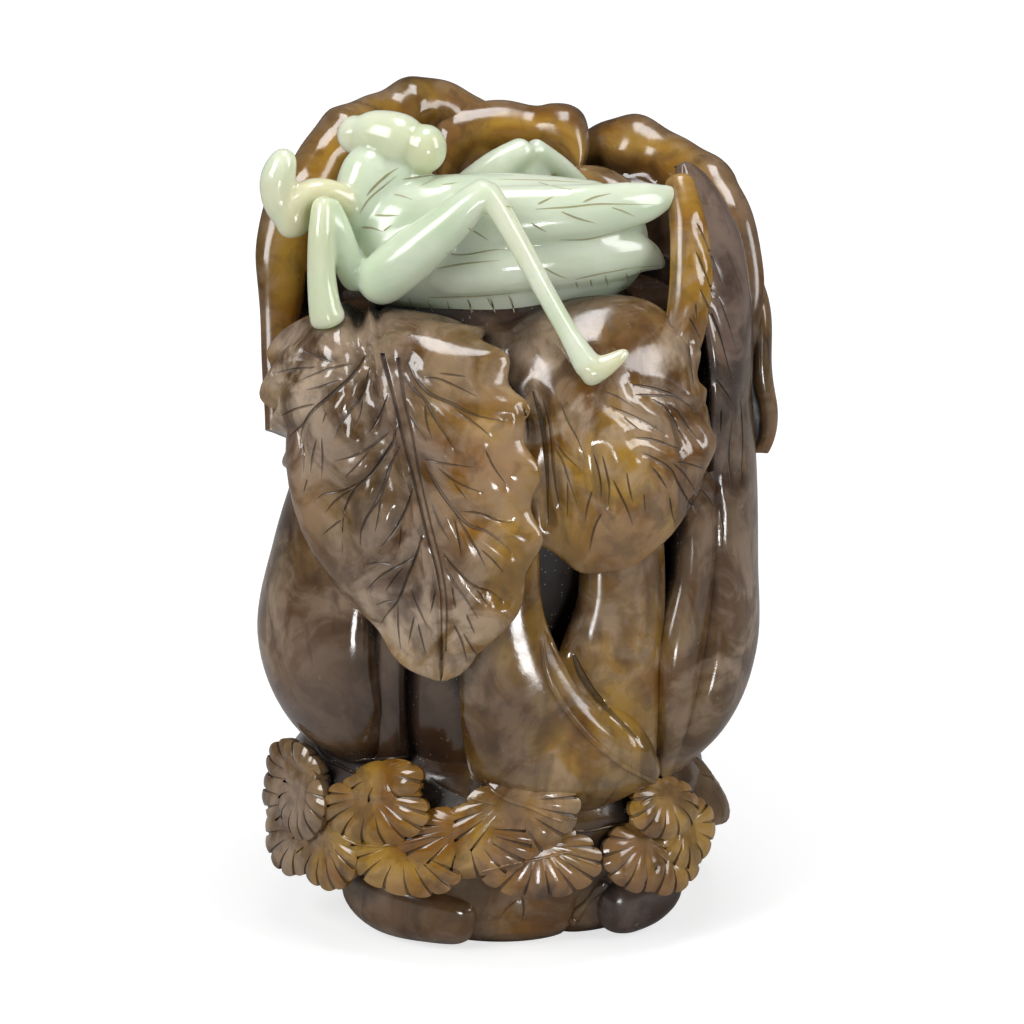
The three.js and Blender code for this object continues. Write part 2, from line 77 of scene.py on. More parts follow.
cameraData = bpy.data.cameras.new("photoCamera")
cameraData.lens = photoView["lens"]
cameraData.sensor_width = 36
cameraData.clip_end = 20
camera = newObject("photoCamera", cameraData)
camera.location = eye * mm
camera.rotation_euler = (math.pi / 2 - lift, 0, 0)
bpy.context.scene.camera = camera


# Curves and frames
def station(values, s):  # smooth value at s, from 0 to 1, of values spaced evenly
    values = np.asarray(values, float)
    s = np.clip(np.asarray(s, float), 0, 1)
    if values.ndim == 0:
        return np.full(s.shape, float(values))
    x = s * (len(values) - 1)
    i = np.minimum(x.astype(int), len(values) - 2)
    f = x - i
    if values.ndim > 1:
        f = f[..., None]
    a, b, c, d = (values[np.clip(i + k, 0, len(values) - 1)] for k in (-1, 0, 1, 2))
    return b + 0.5 * f * (c - a + f * (2 * a - 5 * b + 4 * c - d + f * (3 * (b - c) + d - a)))


def along(points, s):  # smooth point at s, or the one vector that stands for the whole length
    points = np.asarray(points, float)
    if points.ndim == 1:
        return np.broadcast_to(points, np.shape(s) + (3,)).copy()
    return station(points, s)


def unit(v):
    return v / np.maximum(np.linalg.norm(v, axis=-1, keepdims=True), 1e-12)


def direction(points, s):
    return unit(along(points, s + 0.01) - along(points, s - 0.01))


def at(azimuth, radius, z):  # a point of the pebble, 0 at the front and 90 at the right
    a = math.radians(azimuth)
    return (radius * math.sin(a), -radius * ovalShare * math.cos(a), z)


def across(azimuth):
    a = math.radians(azimuth)
    return (math.cos(a), math.sin(a), 0)


def easedSteps(count, even=0.0):  # 0 to 1, closer together at both ends
    u = np.linspace(0, 1, count + 1)
    return even * u + (1 - even) * (1 - np.cos(math.pi * u)) / 2


def bell(x, width):
    return np.exp(-((x / width) ** 2))


def ramp(x, start, width):  # 0 to 1 over a width, or 1 to 0 where the width is negative
    return np.clip((x - start) / width, 0, 1)


def cornerVolume(a, b, c):  # six times the volume of the pyramids from the origin to the triangles
    return np.einsum("ij,ij->i", a, np.cross(b, c)).sum()


# Closed shells, each with a tint per point: honey, violet and pale
shells = []


def addShell(name, rings, tint, mantis=False):
    rowCount, ringSize, _ = rings.shape
    points = np.concatenate([rings.reshape(-1, 3), rings[:1].mean(1), rings[-1:].mean(1)])
    tints = np.broadcast_to(np.asarray(tint, float), (rowCount, ringSize, 3)).reshape(-1, 3)
    tints = np.concatenate([tints, tints[:1], tints[-1:]])
    k = np.arange(ringSize)
    after = (k + 1) % ringSize
    rows = np.arange(rowCount - 1)[:, None] * ringSize
    quads = np.stack([rows + k, rows + after, rows + after + ringSize, rows + k + ringSize], -1)
    quads = quads.reshape(-1, 4)
    low, high = len(points) - 2, len(points) - 1
    last = (rowCount - 1) * ringSize
    fans = np.concatenate([
        np.stack([np.full(ringSize, low), after, k], -1),
        np.stack([np.full(ringSize, high), last + k, last + after], -1),
    ])
    corners, ends = points[quads], points[fans]
    volume = cornerVolume(corners[:, 0], corners[:, 1], corners[:, 2])
    volume += cornerVolume(corners[:, 0], corners[:, 2], corners[:, 3])
    if volume + cornerVolume(ends[:, 0], ends[:, 1], ends[:, 2]) < 0:
        quads, fans = quads[:, ::-1], fans[:, ::-1]
    shells.append({
        "name": name, "points": points, "faces": quads.tolist() + fans.tolist(), "tint": tints,
        "mantis": mantis,
    })


def bladePoints(spec, s, t, top):  # the leaf or stalk sheet of the solid, point by point
    rib, side = spec["rib"], spec["side"]
    tip, roll = spec.get("tip", 0.06), spec.get("roll", 1)
    run = direction(rib, s)
    face = unit(np.cross(along(side, s), run))
    out = np.cross(run, face)
    ease = np.sqrt(1 - (1 - np.clip(s / tip, 0.01, 1)) ** 2)
    half = np.where(t < 0, station(spec["left"], s), station(spec["right"], s)) * ease
    ripples, depth = spec.get("ripples", (0, 0))
    half = half * (1 + depth * np.sin(2 * math.pi * ripples * s + np.where(t < 0, 0.7, 2.1)) * t * t)
    wrap = np.where(t < 0, station(spec.get("wrapLeft", 0), s), station(spec.get("wrapRight", 0), s))
    bend = np.radians(wrap) * np.sign(t)
    point = along(rib, s)
    slices = 8
    for i in range(slices):
        turn = bend * (np.abs(t) * (i + 0.5) / slices) ** roll
        step = half * t / slices
        point = point + out * (step * np.cos(turn))[..., None] - face * (step * np.sin(turn))[..., None]
    turn = bend * np.abs(t) ** roll
    normal = face * np.cos(turn)[..., None] + out * np.sin(turn)[..., None]
    round_ = np.sqrt(np.maximum(0, 1 - np.abs(t) ** 4))
    raised = top * round_ * station(spec["thick"], s) / 2
    if "swell" in spec:
        raised = raised + spec["swell"](s, t)
    if "carve" in spec:
        raised = raised + np.where(top > 0, spec["carve"](s, t) * round_, 0)
    return point + normal * raised[..., None]


def blade(name, spec, tint=(0, 0, 0), steps=60, sides=40, under=12):
    steps, sides = max(6, int(steps * fineness)), max(6, int(sides * fineness))
    under = max(3, int(under * fineness))
    s = easedSteps(steps, 0.5)
    spread = -np.cos(math.pi * np.arange(sides) / (sides - 1)) * 0.5 + np.linspace(-1, 1, sides) * 0.5
    below = -np.cos(math.pi * np.arange(1, under + 1) / (under + 1))[::-1]
    t = np.concatenate([spread, below])
    top = np.concatenate([np.ones(sides), -np.ones(under)])
    grid = np.meshgrid(s, t, indexing="ij")
    rings = bladePoints(spec, grid[0], grid[1], np.broadcast_to(top, grid[0].shape))
    if callable(tint):
        tint = tint(grid[0], grid[1], rings)
    addShell(name, rings, tint)


def limb(name, spec, tint=(0, 0, 0), steps=36, sides=28, shift=(0, 0, 0), mantis=False):
    steps, sides = max(6, int(steps * fineness)), max(8, int(sides * fineness))
    spine = np.asarray(spec["spine"], float)
    wide, deep = spec["wide"], spec.get("deep", spec["wide"])
    s = easedSteps(steps, 0.35)
    length = np.linalg.norm(np.diff(spine, axis=0), axis=1).sum()
    centre, run = along(spine, s), direction(spine, s)
    level = unit(np.cross(run, along(spec.get("up", (0, 1, 0)), s)))
    high = np.cross(level, run)
    w, d = station(wide, s), station(deep, s)
    inset = np.clip(np.minimum(s, 1 - s) * length / np.maximum(w, d), 0.02, 1)
    round_ = np.sqrt(1 - (1 - inset) ** 2)
    a = 2 * math.pi * np.arange(sides) / sides
    keel, place = spec.get("keel", 0), math.radians(spec.get("keelAt", 270))
    ridge = 1 + keel * np.maximum(0, np.cos(a - place)) ** 10 - keel * 0.3 * np.cos(2 * (a - place)) ** 2
    rings = centre[:, None] + (
        level[:, None] * (np.cos(a) * ridge)[None, :, None] * (w * round_)[:, None, None]
        + high[:, None] * (np.sin(a) * ridge)[None, :, None] * (d * round_)[:, None, None]
    )
    rings = rings + np.asarray(shift, float)
    if callable(tint):
        tint = tint(*np.meshgrid(s, a, indexing="ij"), rings)
    addShell(name, rings, tint, mantis)


def ball(name, centre, half, tint=(0, 0, 0), shift=(0, 0, 0), mantis=False):
    count = max(10, int(24 * fineness))
    polar = np.linspace(0.12, math.pi - 0.12, count)
    turn = 2 * math.pi * np.arange(2 * count) / (2 * count)
    p, q = np.meshgrid(polar, turn, indexing="ij")
    rings = np.stack([np.sin(p) * np.cos(q), np.sin(p) * np.sin(q), np.cos(p)], -1)
    addShell(name, rings * np.array(half) + np.array(centre) + np.array(shift), tint, mantis)


# The middle: the foot with its ring of pads, the mass of the bed and the core between the stalks
middleSizes = {
    "profile": [
        (31.5, 0), (36.5, 3.5), (38, 9), (44, 14), (48, 20), (47, 29), (41, 37), (31, 44), (33, 64),
        (38, 108), (36, 123), (33, 126.7),
    ],
    "pads": 6, "padDepth": 4.0, "frontReach": 3.5, "backCut": 4.0, "around": 220, "rows": 90,
    "footFade": (14, -5), "bedRise": (9, 5), "bedFade": (44, -7), "tintFade": (16, -8),
}


def makeMiddle(sizes):
    around, rows = int(sizes["around"] * fineness), int(sizes["rows"] * fineness)
    stations = np.linspace(0, 1, len(sizes["profile"]))
    u = np.linspace(0, 1, rows + 1)
    radius = np.interp(u, stations, [p[0] for p in sizes["profile"]])
    z = np.interp(u, stations, [p[1] for p in sizes["profile"]])
    a = 2 * math.pi * np.arange(around) / around
    valley = 1 - np.abs(np.cos(sizes["pads"] / 2 * (a + 0.15))) ** 0.5
    foot = -sizes["padDepth"] * valley + sizes["frontReach"] * np.cos(a) ** 2
    bed = -sizes["backCut"] * (1 - np.cos(a + 0.9))
    footShare = ramp(z, *sizes["footFade"])[:, None]
    bedShare = (ramp(z, *sizes["bedRise"]) * ramp(z, *sizes["bedFade"]))[:, None]
    r = radius[:, None] + foot * footShare + bed * bedShare
    height = np.broadcast_to(z[:, None], r.shape)
    rings = np.stack([r * np.sin(a), -r * ovalShare * np.cos(a), height], -1)
    share = np.broadcast_to(ramp(z, *sizes["tintFade"])[:, None], r.shape)
    addShell("middle", rings, np.stack([0.3 * share, 0.3 * share, 0.15 * share], -1))


makeMiddle(middleSizes)
limb("saddle", {
    "spine": [(-26, -12, 128), (-8, -13, 126), (12, -12, 126), (24, -8, 128)],
    "wide": [7, 11, 11, 6], "deep": [6, 9, 9, 6],
}, tint=(0.05, 0, 0))
for name, sizes in {
    "underLeft": {
        "spine": [(-17, -31, 68), (-19, -32, 78), (-22, -31, 92), (-26, -27, 108), (-27, -18, 121)],
        "wide": [7, 14, 19, 18, 13], "deep": [6, 10, 11.5, 11, 9],
    },
    "underRight": {
        "spine": [(22, -26, 86), (25, -26, 96), (24, -25, 108), (17, -20, 119)],
        "wide": [9, 13, 15, 11], "deep": [6, 9, 9, 8],
    },
}.items():
    limb(name, sizes, steps=20, sides=24)
for name, (sizes, tint) in {  # the large pads at the front of the foot
    "padLeft": ({
        "spine": [(-32, -19, 10), (-24, -26.5, 8), (-14, -31.5, 7.3), (-6, -33, 5.8)],
        "wide": [6, 7.6, 6.9, 5.2], "deep": [5, 5.5, 5, 4], "keel": 0.16, "keelAt": 300,
    }, (0.25, 0.5, 0.2)),
    "padMiddle": ({"spine": [(0, -31, 11), (4, -34, 7.2)], "wide": [6.5, 6.8], "deep": 5}, (0.75, 0.2, 0.3)),
    "padRight": ({
        "spine": [(33, -15, 9.5), (27, -23, 8), (18, -29.5, 7.2)], "wide": [6, 7.4, 6.8], "deep": [5, 5.5, 5],
    }, (0.05, 0.35, 0.05)),
}.items():
    limb(name, sizes, tint, steps=36, sides=40)

# The stalks: plump spoons with thin edges
stalks = {
    "leftBulb": {
        "rib": [
            at(-52, 32, 34), at(-58, 42, 45), at(-60, 46.5, 60), at(-60, 44, 78), at(-58, 39.5, 97),
            at(-56, 36, 112),
        ],
        "side": across(-60), "left": [9, 17, 20, 18, 15, 12], "right": [9, 17, 19, 17, 14, 12],
        "wrapLeft": 62, "wrapRight": 48, "thick": [6, 14, 16, 14, 12, 10],
    },
    "frontSheath": {
        "rib": [(12, -31, 30), (9, -37, 41), (4, -39, 54), (0, -38.5, 70), (0, -36.5, 86), (1, -33, 104)],
        "side": across(4), "left": [9, 17, 14, 9, 8, 9], "right": [20, 19, 11.5, 7.5, 6, 7],
        "wrapLeft": 48, "wrapRight": [24, 24, 18, 14, 14, 14], "thick": [6, 12, 12, 10, 9, 8],
        "carve": lambda s, t: 1.6 * bell(t - 0.9, 0.07) * np.clip((0.72 - s) * 6, 0, 1),
    },
    "frontHeart": {
        "rib": [(27, -26, 34), (24, -29, 46), (22, -31, 60), (21, -31, 76), (20, -29, 94)],
        "side": across(30), "left": [4, 11, 15, 8, 8], "right": [3, 7, 10, 12, 12],
        "wrapLeft": 10, "wrapRight": 24, "thick": [5, 9, 9, 8, 8],
    },
    "rightRib": {
        "rib": [(30, -24, 34), (33, -25, 46), (35, -24, 60), (37, -21, 76), (37, -18, 96)],
        "side": across(52), "left": [3, 6, 8, 6, 5], "right": [4, 7, 8, 8, 8],
        "wrapLeft": 12, "wrapRight": 20, "thick": [5, 9, 9, 8, 8],
    },
    "rightSheath": {
        "rib": [
            (31, -19, 33), (40, -17, 45), (44.5, -14, 58), (45.5, -11, 74), (45.5, -9, 92), (44, -7, 112),
        ],
        "side": across(78), "left": [8, 13, 14, 13, 12, 11], "right": [8, 17, 19, 18, 17, 15],
        "wrapLeft": 30, "wrapRight": 52, "thick": [5, 10, 11, 9, 8, 8],
    },
    "leftSliver": {
        "rib": [(-23, -25, 38), (-24, -27.5, 48), (-24, -28.5, 60), (-23, -27, 78)],
        "side": across(-36), "left": 4, "right": 4, "wrapLeft": 40, "wrapRight": 40, "thick": 8,
    },
    "leftHeart": {
        "rib": [(-12, -25, 36), (-13, -28, 48), (-13, -28, 62), (-13, -27, 78)],
        "side": across(-22), "left": 8, "right": 9, "wrapLeft": 40, "wrapRight": 30, "thick": 9,
    },
}
stalkTints = {
    "leftBulb": (0.08, 0.17, 0.06), "frontSheath": (0.5, 0.14, 0.05), "frontHeart": (0.5, 0.4, 0.25),
    "rightRib": (0.25, 0.36, 0.2), "rightSheath": (0.2, 0.38, 0.22), "leftSliver": (0, 0.1, 0),
    "leftHeart": (0, 0, 0),
}
for name, azimuth, reach, half, top in [
    ("backRight", 118, 42, 20, 131), ("backMiddle", 165, 44, 21, 133.6), ("backLeft", 210, 42, 20, 129.4),
    ("backSide", 254, 42, 18, 132.7),
]:
    width = [9, half - 2, half, half - 4, half - 5, half - 2, half]
    stalks[name] = {
        "rib": [
            at(azimuth, reach - 12, 34), at(azimuth, reach - 2, 46), at(azimuth, reach, 62),
            at(azimuth, reach - 2, 80), at(azimuth, reach - 4, 98), at(azimuth, reach - 3, 116),
            at(azimuth, reach - 3, top),
        ],
        "side": across(azimuth), "left": width, "right": width,
        "wrapLeft": 50, "wrapRight": 50, "thick": [6, 13, 14, 12, 10, 8, 6],
    }
    stalkTints[name] = (0.25, 0.45, 0.15)
for name, sizes in stalks.items():
    small = name in ("leftSliver", "leftHeart")
    blade(name, sizes, stalkTints[name], steps=30 if small else 56, sides=14 if small else 36, under=6)

# The two leaves that fall over the front, and plainer ones behind
fallingLeaves = {
    "leftLeaf": {
        "rib": [
            (-13, -43, 61.5), (-15, -45, 80), (-18, -44.5, 96), (-22, -41.5, 111), (-25.5, -34.5, 123.5),
            (-27, -25, 127.5), (-27, -15, 125.4),
        ],
        "side": across(-14), "left": [13, 25, 32, 31, 27, 21, 15], "right": [10, 20, 24, 25.5, 22, 19, 16],
        "wrapLeft": [20, 48, 58, 62, 56, 44, 40], "wrapRight": [16, 24, 26, 24, 22, 20, 20],
        "thick": [2.4, 4, 4.6, 5, 5.4, 6, 6], "tip": 0.2, "ripples": (8.3, 0.045),
        "swell": lambda s, t: -1.5 * bell(t, 0.12) * np.sin(math.pi * s)
        + 0.7 * np.abs(t) ** 3 * np.sin(2 * math.pi * 8.3 * s + np.where(t < 0, 0, 1.8)),
        "carve": lambda s, t: 1.2 * bell(t - 0.015, 0.035) * np.clip(s * 5, 0, 1)
        - 1.9 * bell(t + 0.1, 0.07) * np.clip((s - 0.15) * 4, 0, 1) - 0.8 * bell(t - 0.1, 0.05)
        + 0.9 * bell(t + 0.32, 0.12) * np.clip((s - 0.2) * 3, 0, 1),
    },
    "rightLeaf": {
        "rib": [
            (24, -35.5, 82.5), (20, -39, 93), (14, -39.5, 106), (9, -35.5, 118), (5, -28, 125),
            (2, -20, 124.6),
        ],
        "side": (0.86, 0.1, 0.46), "left": [16, 15, 14, 13, 10, 8], "right": [20, 27, 30, 31, 25, 16],
        "wrapLeft": 12, "wrapRight": [24, 38, 44, 46, 42, 30], "thick": [2.4, 4, 4.6, 5, 5.6, 6],
        "tip": 0.28, "ripples": (5.2, 0.035),
        "swell": lambda s, t: 1.4 * np.sin(math.pi * np.clip(s * 1.25, 0, 1)) * np.cos(4.2 * (t - 0.1))
        + 0.5 * np.abs(t) ** 3 * np.sin(2 * math.pi * 5.2 * s),
    },
}
for name, azimuth, ribs, left, right in [
    ("backLeaf", 150, [(146, 50, 92), (149, 51, 106), (152, 49, 119), (154, 44, 130), (156, 37, 136)],
     [10, 18, 21, 20, 15], [10, 19, 22, 20, 15]),
    ("backSideLeaf", 222, [(226, 49, 78), (223, 51, 95), (220, 50, 112), (218, 46, 126), (216, 38, 133)],
     [11, 19, 21, 19, 14], [11, 19, 21, 19, 14]),
]:
    fallingLeaves[name] = {
        "rib": [at(*place) for place in ribs], "side": across(azimuth), "left": left, "right": right,
        "wrapLeft": 34, "wrapRight": 34, "thick": [3, 5, 6, 6, 6], "tip": 0.3, "ripples": (4.5, 0.04),
    }
# Both front leaves fade to the darkest stone at their upper ends under the mantis: partly dust, partly
# painted shade.
leafTints = {
    "leftLeaf": lambda s, t, p: ramp(s, 0.93, -0.12)[..., None] * np.stack([
        0.12 + 0.75 * bell(t - 0.6, 0.35) * bell(s - 0.45, 0.35) + 0.35 * bell(s, 0.12),
        0.8 - 0.5 * bell(t + 0.12, 0.1),
        0.32 + 0.5 * bell(s, 0.2) + 0.9 * bell(t + 0.65, 0.4) * bell(s - 0.7, 0.2)], -1),
    "rightLeaf": lambda s, t, p: ramp(s, 0.85, -0.15)[..., None] * np.stack([
        0.35 + 0.6 * bell(s - 0.12, 0.4) * bell(t + 0.1, 0.8), 0.5 + 0 * s,
        0.2 + 0.5 * bell(s - 0.55, 0.2)], -1),
    "backLeaf": (0.3, 0.5, 0.25), "backSideLeaf": (0.25, 0.6, 0.25),
}
leafSteps = {
    "leftLeaf": (120, 110, 16), "rightLeaf": (90, 84, 12), "backLeaf": (60, 50, 8),
    "backSideLeaf": (60, 50, 8),
}
for name, sizes in fallingLeaves.items():
    steps, sides, under = leafSteps[name]
    blade(name, sizes, leafTints[name], steps, sides, under)
print("stalks and falling leaves shaped")

# The tall leaf at the right with its rolled edge, and the lobe that hangs outside the crown
blade("uprightLeaf", {
    "rib": [
        (43, -12, 84), (45, -10.5, 104), (45, -9, 122), (42, -7.5, 138), (37, -6, 149), (33.5, -6, 154.5),
    ],
    "side": [across(72), across(72), across(70), across(60), across(50), across(45)],
    "left": [8, 11, 12.5, 11, 7, 0.4], "right": [9, 12, 13, 11, 6, 0.4],
    "wrapLeft": 20, "wrapRight": 34, "thick": [5, 5, 5, 4.6, 4, 3],
}, (0.0, 1.0, 0.1), steps=80, sides=36, under=18)
limb("uprightEdge", {
    "spine": [(30, -24, 113), (33.4, -22.5, 122), (35.4, -20, 133), (35, -16, 144), (33, -9, 153)],
    "wide": [2.6, 4, 4.4, 3.8, 2.8], "deep": [2.4, 3, 3.4, 3, 2.6], "up": (0.4, -1, 0), "keel": 0.12,
    "keelAt": 60,
}, (0.95, 0.0, 0.35), steps=50)
blade("hangingLobe", {
    "rib": [(51, 1, 93.5), (51.6, 3, 104), (50.8, 5, 116), (48, 8, 128), (45, 11, 138)],
    "side": across(96), "left": [0.6, 6, 7, 7, 6], "right": [0.6, 9, 11, 12, 12],
    "wrapLeft": 10, "wrapRight": 30, "thick": [3, 4.4, 4.6, 4.6, 5],
    "swell": lambda s, t: 0.8 * np.sin(s * 12),
}, (0.7, 0.2, 0.2), steps=50, sides=24, under=12)

# The leaves round the crown, with rolled and ruffled rims
crownLeaves = {
    "crownLeft": {
        "around": (-184, -72), "radius": [38, 38, 37.5, 37, 38, 41.5, 48],
        "rim": [154, 160, 161, 159, 153, 138, 112], "drop": [10, 30, 34, 34, 32, 28, 18],
        "waves": 4.3, "depth": 0.8, "thick": [4, 5.5, 6, 6, 6, 5.5, 4], "steps": 150,
    },
    "crownRight": {
        "around": (88, 166), "radius": [43, 43, 43, 43, 42, 40], "rim": [110, 138, 148, 152, 153, 152],
        "drop": [12, 26, 32, 34, 32, 12], "waves": 3.1, "depth": 0.8, "thick": [4, 5.5, 6, 6, 5.5, 4],
        "steps": 120,
    },
    "crownBack": {
        "around": (154, 203), "radius": [34, 34, 34, 33], "rim": [154, 157, 157, 152],
        "drop": [10, 24, 24, 10], "waves": 1.7, "depth": 0.8, "thick": [3.5, 5, 5, 3.5], "steps": 80,
    },
    "heartBack": {
        "around": (124, 190), "radius": [26.5, 27, 27, 26], "rim": [140.1, 146.2, 144.1, 137.2],
        "drop": [8, 17.4, 17.6, 8], "waves": 1.4, "depth": 0.6, "thick": [3, 4, 4, 3], "steps": 60,
    },
}


def crownLeaf(name, sizes):
    lip, lipStep = 11, 1.2
    places = np.linspace(0, 1, len(sizes["radius"]))
    azimuths = sizes["around"][0] + (sizes["around"][1] - sizes["around"][0]) * places
    radii, heights = station(sizes["radius"], places), station(sizes["rim"], places)
    waves, depth = sizes["waves"], sizes["depth"]

    def ruffle(s, t):
        ripple = depth * np.sin(2 * math.pi * waves * s)
        return np.clip(t + 0.2, 0, 1) * (ripple + 0.3 * depth * np.sin(2 * math.pi * waves * 2.3 * s + 1))

    def step(s, t):  # the lip stands over a groove that wanders along the rim
        wander = 0.06 * np.sin(9 * s * waves)
        return lipStep * np.clip(4 * (t - 0.28 + wander), 0, 1) - 1.0 * bell(t - 0.24 + wander, 0.1)

    # Below the lip the inner wall is left dark: the stone's darker colour with painted shade in the crown's
    # hollow.
    def rimTint(s, t, rings):
        honey = ramp(t, 0.22, 0.12) * np.clip((0.86 - t) / 0.15, 0.2, 1)
        violet = 0.05 + 0.5 * ramp(t, 0.72, 0.2)
        return np.stack([honey, violet, 0.05 + 0.2 * bell(t - 0.82, 0.1)], -1)

    blade(name, {
        "rib": [at(a, r - 2, z - lip) for a, r, z in zip(azimuths, radii, heights)],
        "side": [at(a, 0.22, 0)[:2] + (1,) for a in azimuths],
        "left": sizes["drop"], "right": [5] + [lip + 3] * 4 + [5], "wrapLeft": -40, "wrapRight": 80,
        "roll": 2.6, "thick": sizes["thick"], "swell": ruffle, "carve": step,
    }, rimTint, sizes["steps"], 44, 22)


for name, sizes in crownLeaves.items():
    crownLeaf(name, sizes)
print("crown shaped")

# The bed: fans of petal-like lobes, laid like shingles: root, tip, half width, lobes
bedFans = [
    [(-39.1, -24.1, 32.3), (-49, -13.9, 32.6), 7.5, 10], [(-40.2, -24, 28.3), (-50, -12.8, 24.5), 8, 11],
    [(-39.1, -26.1, 24.2), (-49.2, -15.9, 15.1), 9, 12], [(-40.7, -24, 32.7), (-42.3, -26, 20.6), 8.5, 11],
    [(-35.5, -29.4, 25), (-39.3, -29.3, 12.5), 10.5, 13], [(-24.5, -34, 39.2), (-24, -37.5, 32.7), 9.5, 7],
    [(-26.4, -34.3, 35.1), (-26.4, -37.7, 24.2), 13, 14],
    [(-20.3, -37.9, 26.4), (-22.1, -40.3, 14.8), 13.5, 14],
    [(-8.2, -40.7, 31), (-8.6, -43.7, 19.7), 14, 14], [(-0.5, -40.1, 36.4), (4.3, -43.5, 23.7), 13.5, 14],
    [(6, -40.8, 27.3), (5.5, -43.9, 15.4), 13, 14], [(30.5, -28.2, 32.5), (31.8, -32, 23.1), 9.5, 11],
    [(26.4, -32, 23.9), (24.6, -37.2, 13.9), 9, 11], [(30.8, -28.9, 21.6), (34.8, -30.6, 11.5), 9, 11],
    [(33.8, -27.1, 24.8), (40.2, -24.7, 17.2), 8, 10],
]
for azimuth in (104, 138, 172, 206):
    bedFans.append([at(azimuth, 38, 26), at(azimuth + 2, 45, 16), 12, 10])
for azimuth in (121, 155, 189, 223, 255):
    bedFans.append([at(azimuth, 39, 18), at(azimuth - 2, 44, 7), 12, 10])
fanShape = {"dome": 1.8, "sunk": 1.6, "notch": 0.1, "reach": 0.62, "heart": 0.45, "bulge": 0.45}
fanCuts = []  # the cuts between the lobes, each a list of points with a width


def fan(name, spec, shape, tint):
    root, tip, half, lobes = spec
    start, end = np.array(root, float), np.array(tip, float)
    run = end - start
    reach = np.linalg.norm(run) * shape["reach"]
    run = unit(run)
    outwards = np.array([end[0], end[1] / ovalShare, 0])
    level = unit(np.cross(run, outwards))
    normal = np.cross(level, run)
    centre = end - run * reach
    heart = -shape["heart"]  # where the lobes meet, from the middle towards the root

    def place(a, r, lower=0.0):
        x = 2 * ((a * lobes / (2 * math.pi) + 0.5) % 1) - 1  # across one lobe, -1 to 1
        outline = 1 - shape["notch"] * (1 - np.sqrt(np.maximum(0, 1 - x * x)))
        u = heart + r * (np.cos(a) * outline - heart)
        v = r * np.sin(a) * outline
        flat = np.sqrt(u * u + v * v)
        height = shape["dome"] * np.clip(1.25 * (1 - flat**3), -0.2, 1)
        height = height + shape["bulge"] * np.cos(x * math.pi / 2) * np.clip(r * 1.4 - 0.3, 0, 1)
        height = height - lower
        flatPoint = centre + run * (u * reach)[..., None] + level * (v * half)[..., None]
        return flatPoint + normal * height[..., None]

    around, rows = max(24, int(lobes * 10 * fineness)), max(6, int(13 * fineness))
    a = 2 * math.pi * np.arange(around) / around
    r = np.concatenate([np.linspace(0.06, 1, rows), [0.97, 0.85, 0.4, 0.06]])
    lower = np.concatenate([np.zeros(rows), [shape["sunk"], shape["sunk"] * 2, 4, 4.4]])
    grid = np.meshgrid(r, a, indexing="ij")
    rings = place(grid[1], grid[0], np.broadcast_to(lower[:, None], grid[0].shape))
    addShell(name, rings, tint)
    for k in range(lobes):
        edge = np.full(9, 2 * math.pi * (k + 0.5) / lobes)
        if math.cos(edge[0]) > -0.55:
            path = place(edge, np.linspace(0.5, 1.05, 9))
            fanCuts.append((path, np.linspace(0.08, 0.5, 9)))


for i, spec in enumerate(bedFans):
    left = spec[1][0] < -41
    tint = (0.5, 0.35, 0.3) if left else (0.95, 0.2, 0.15) if i < 15 else (0.45, 0.4, 0.2)
    fan(f"fan{i}", spec, fanShape, tint)
jaggedShape = {**fanShape, "notch": 0.3, "dome": 1.5}
fan("jaggedLeaf", [(33, -12, 31), (45, -11, 19), 8, 3], jaggedShape, (0.2, 0.4, 0.1))
print("bed of leaves shaped")

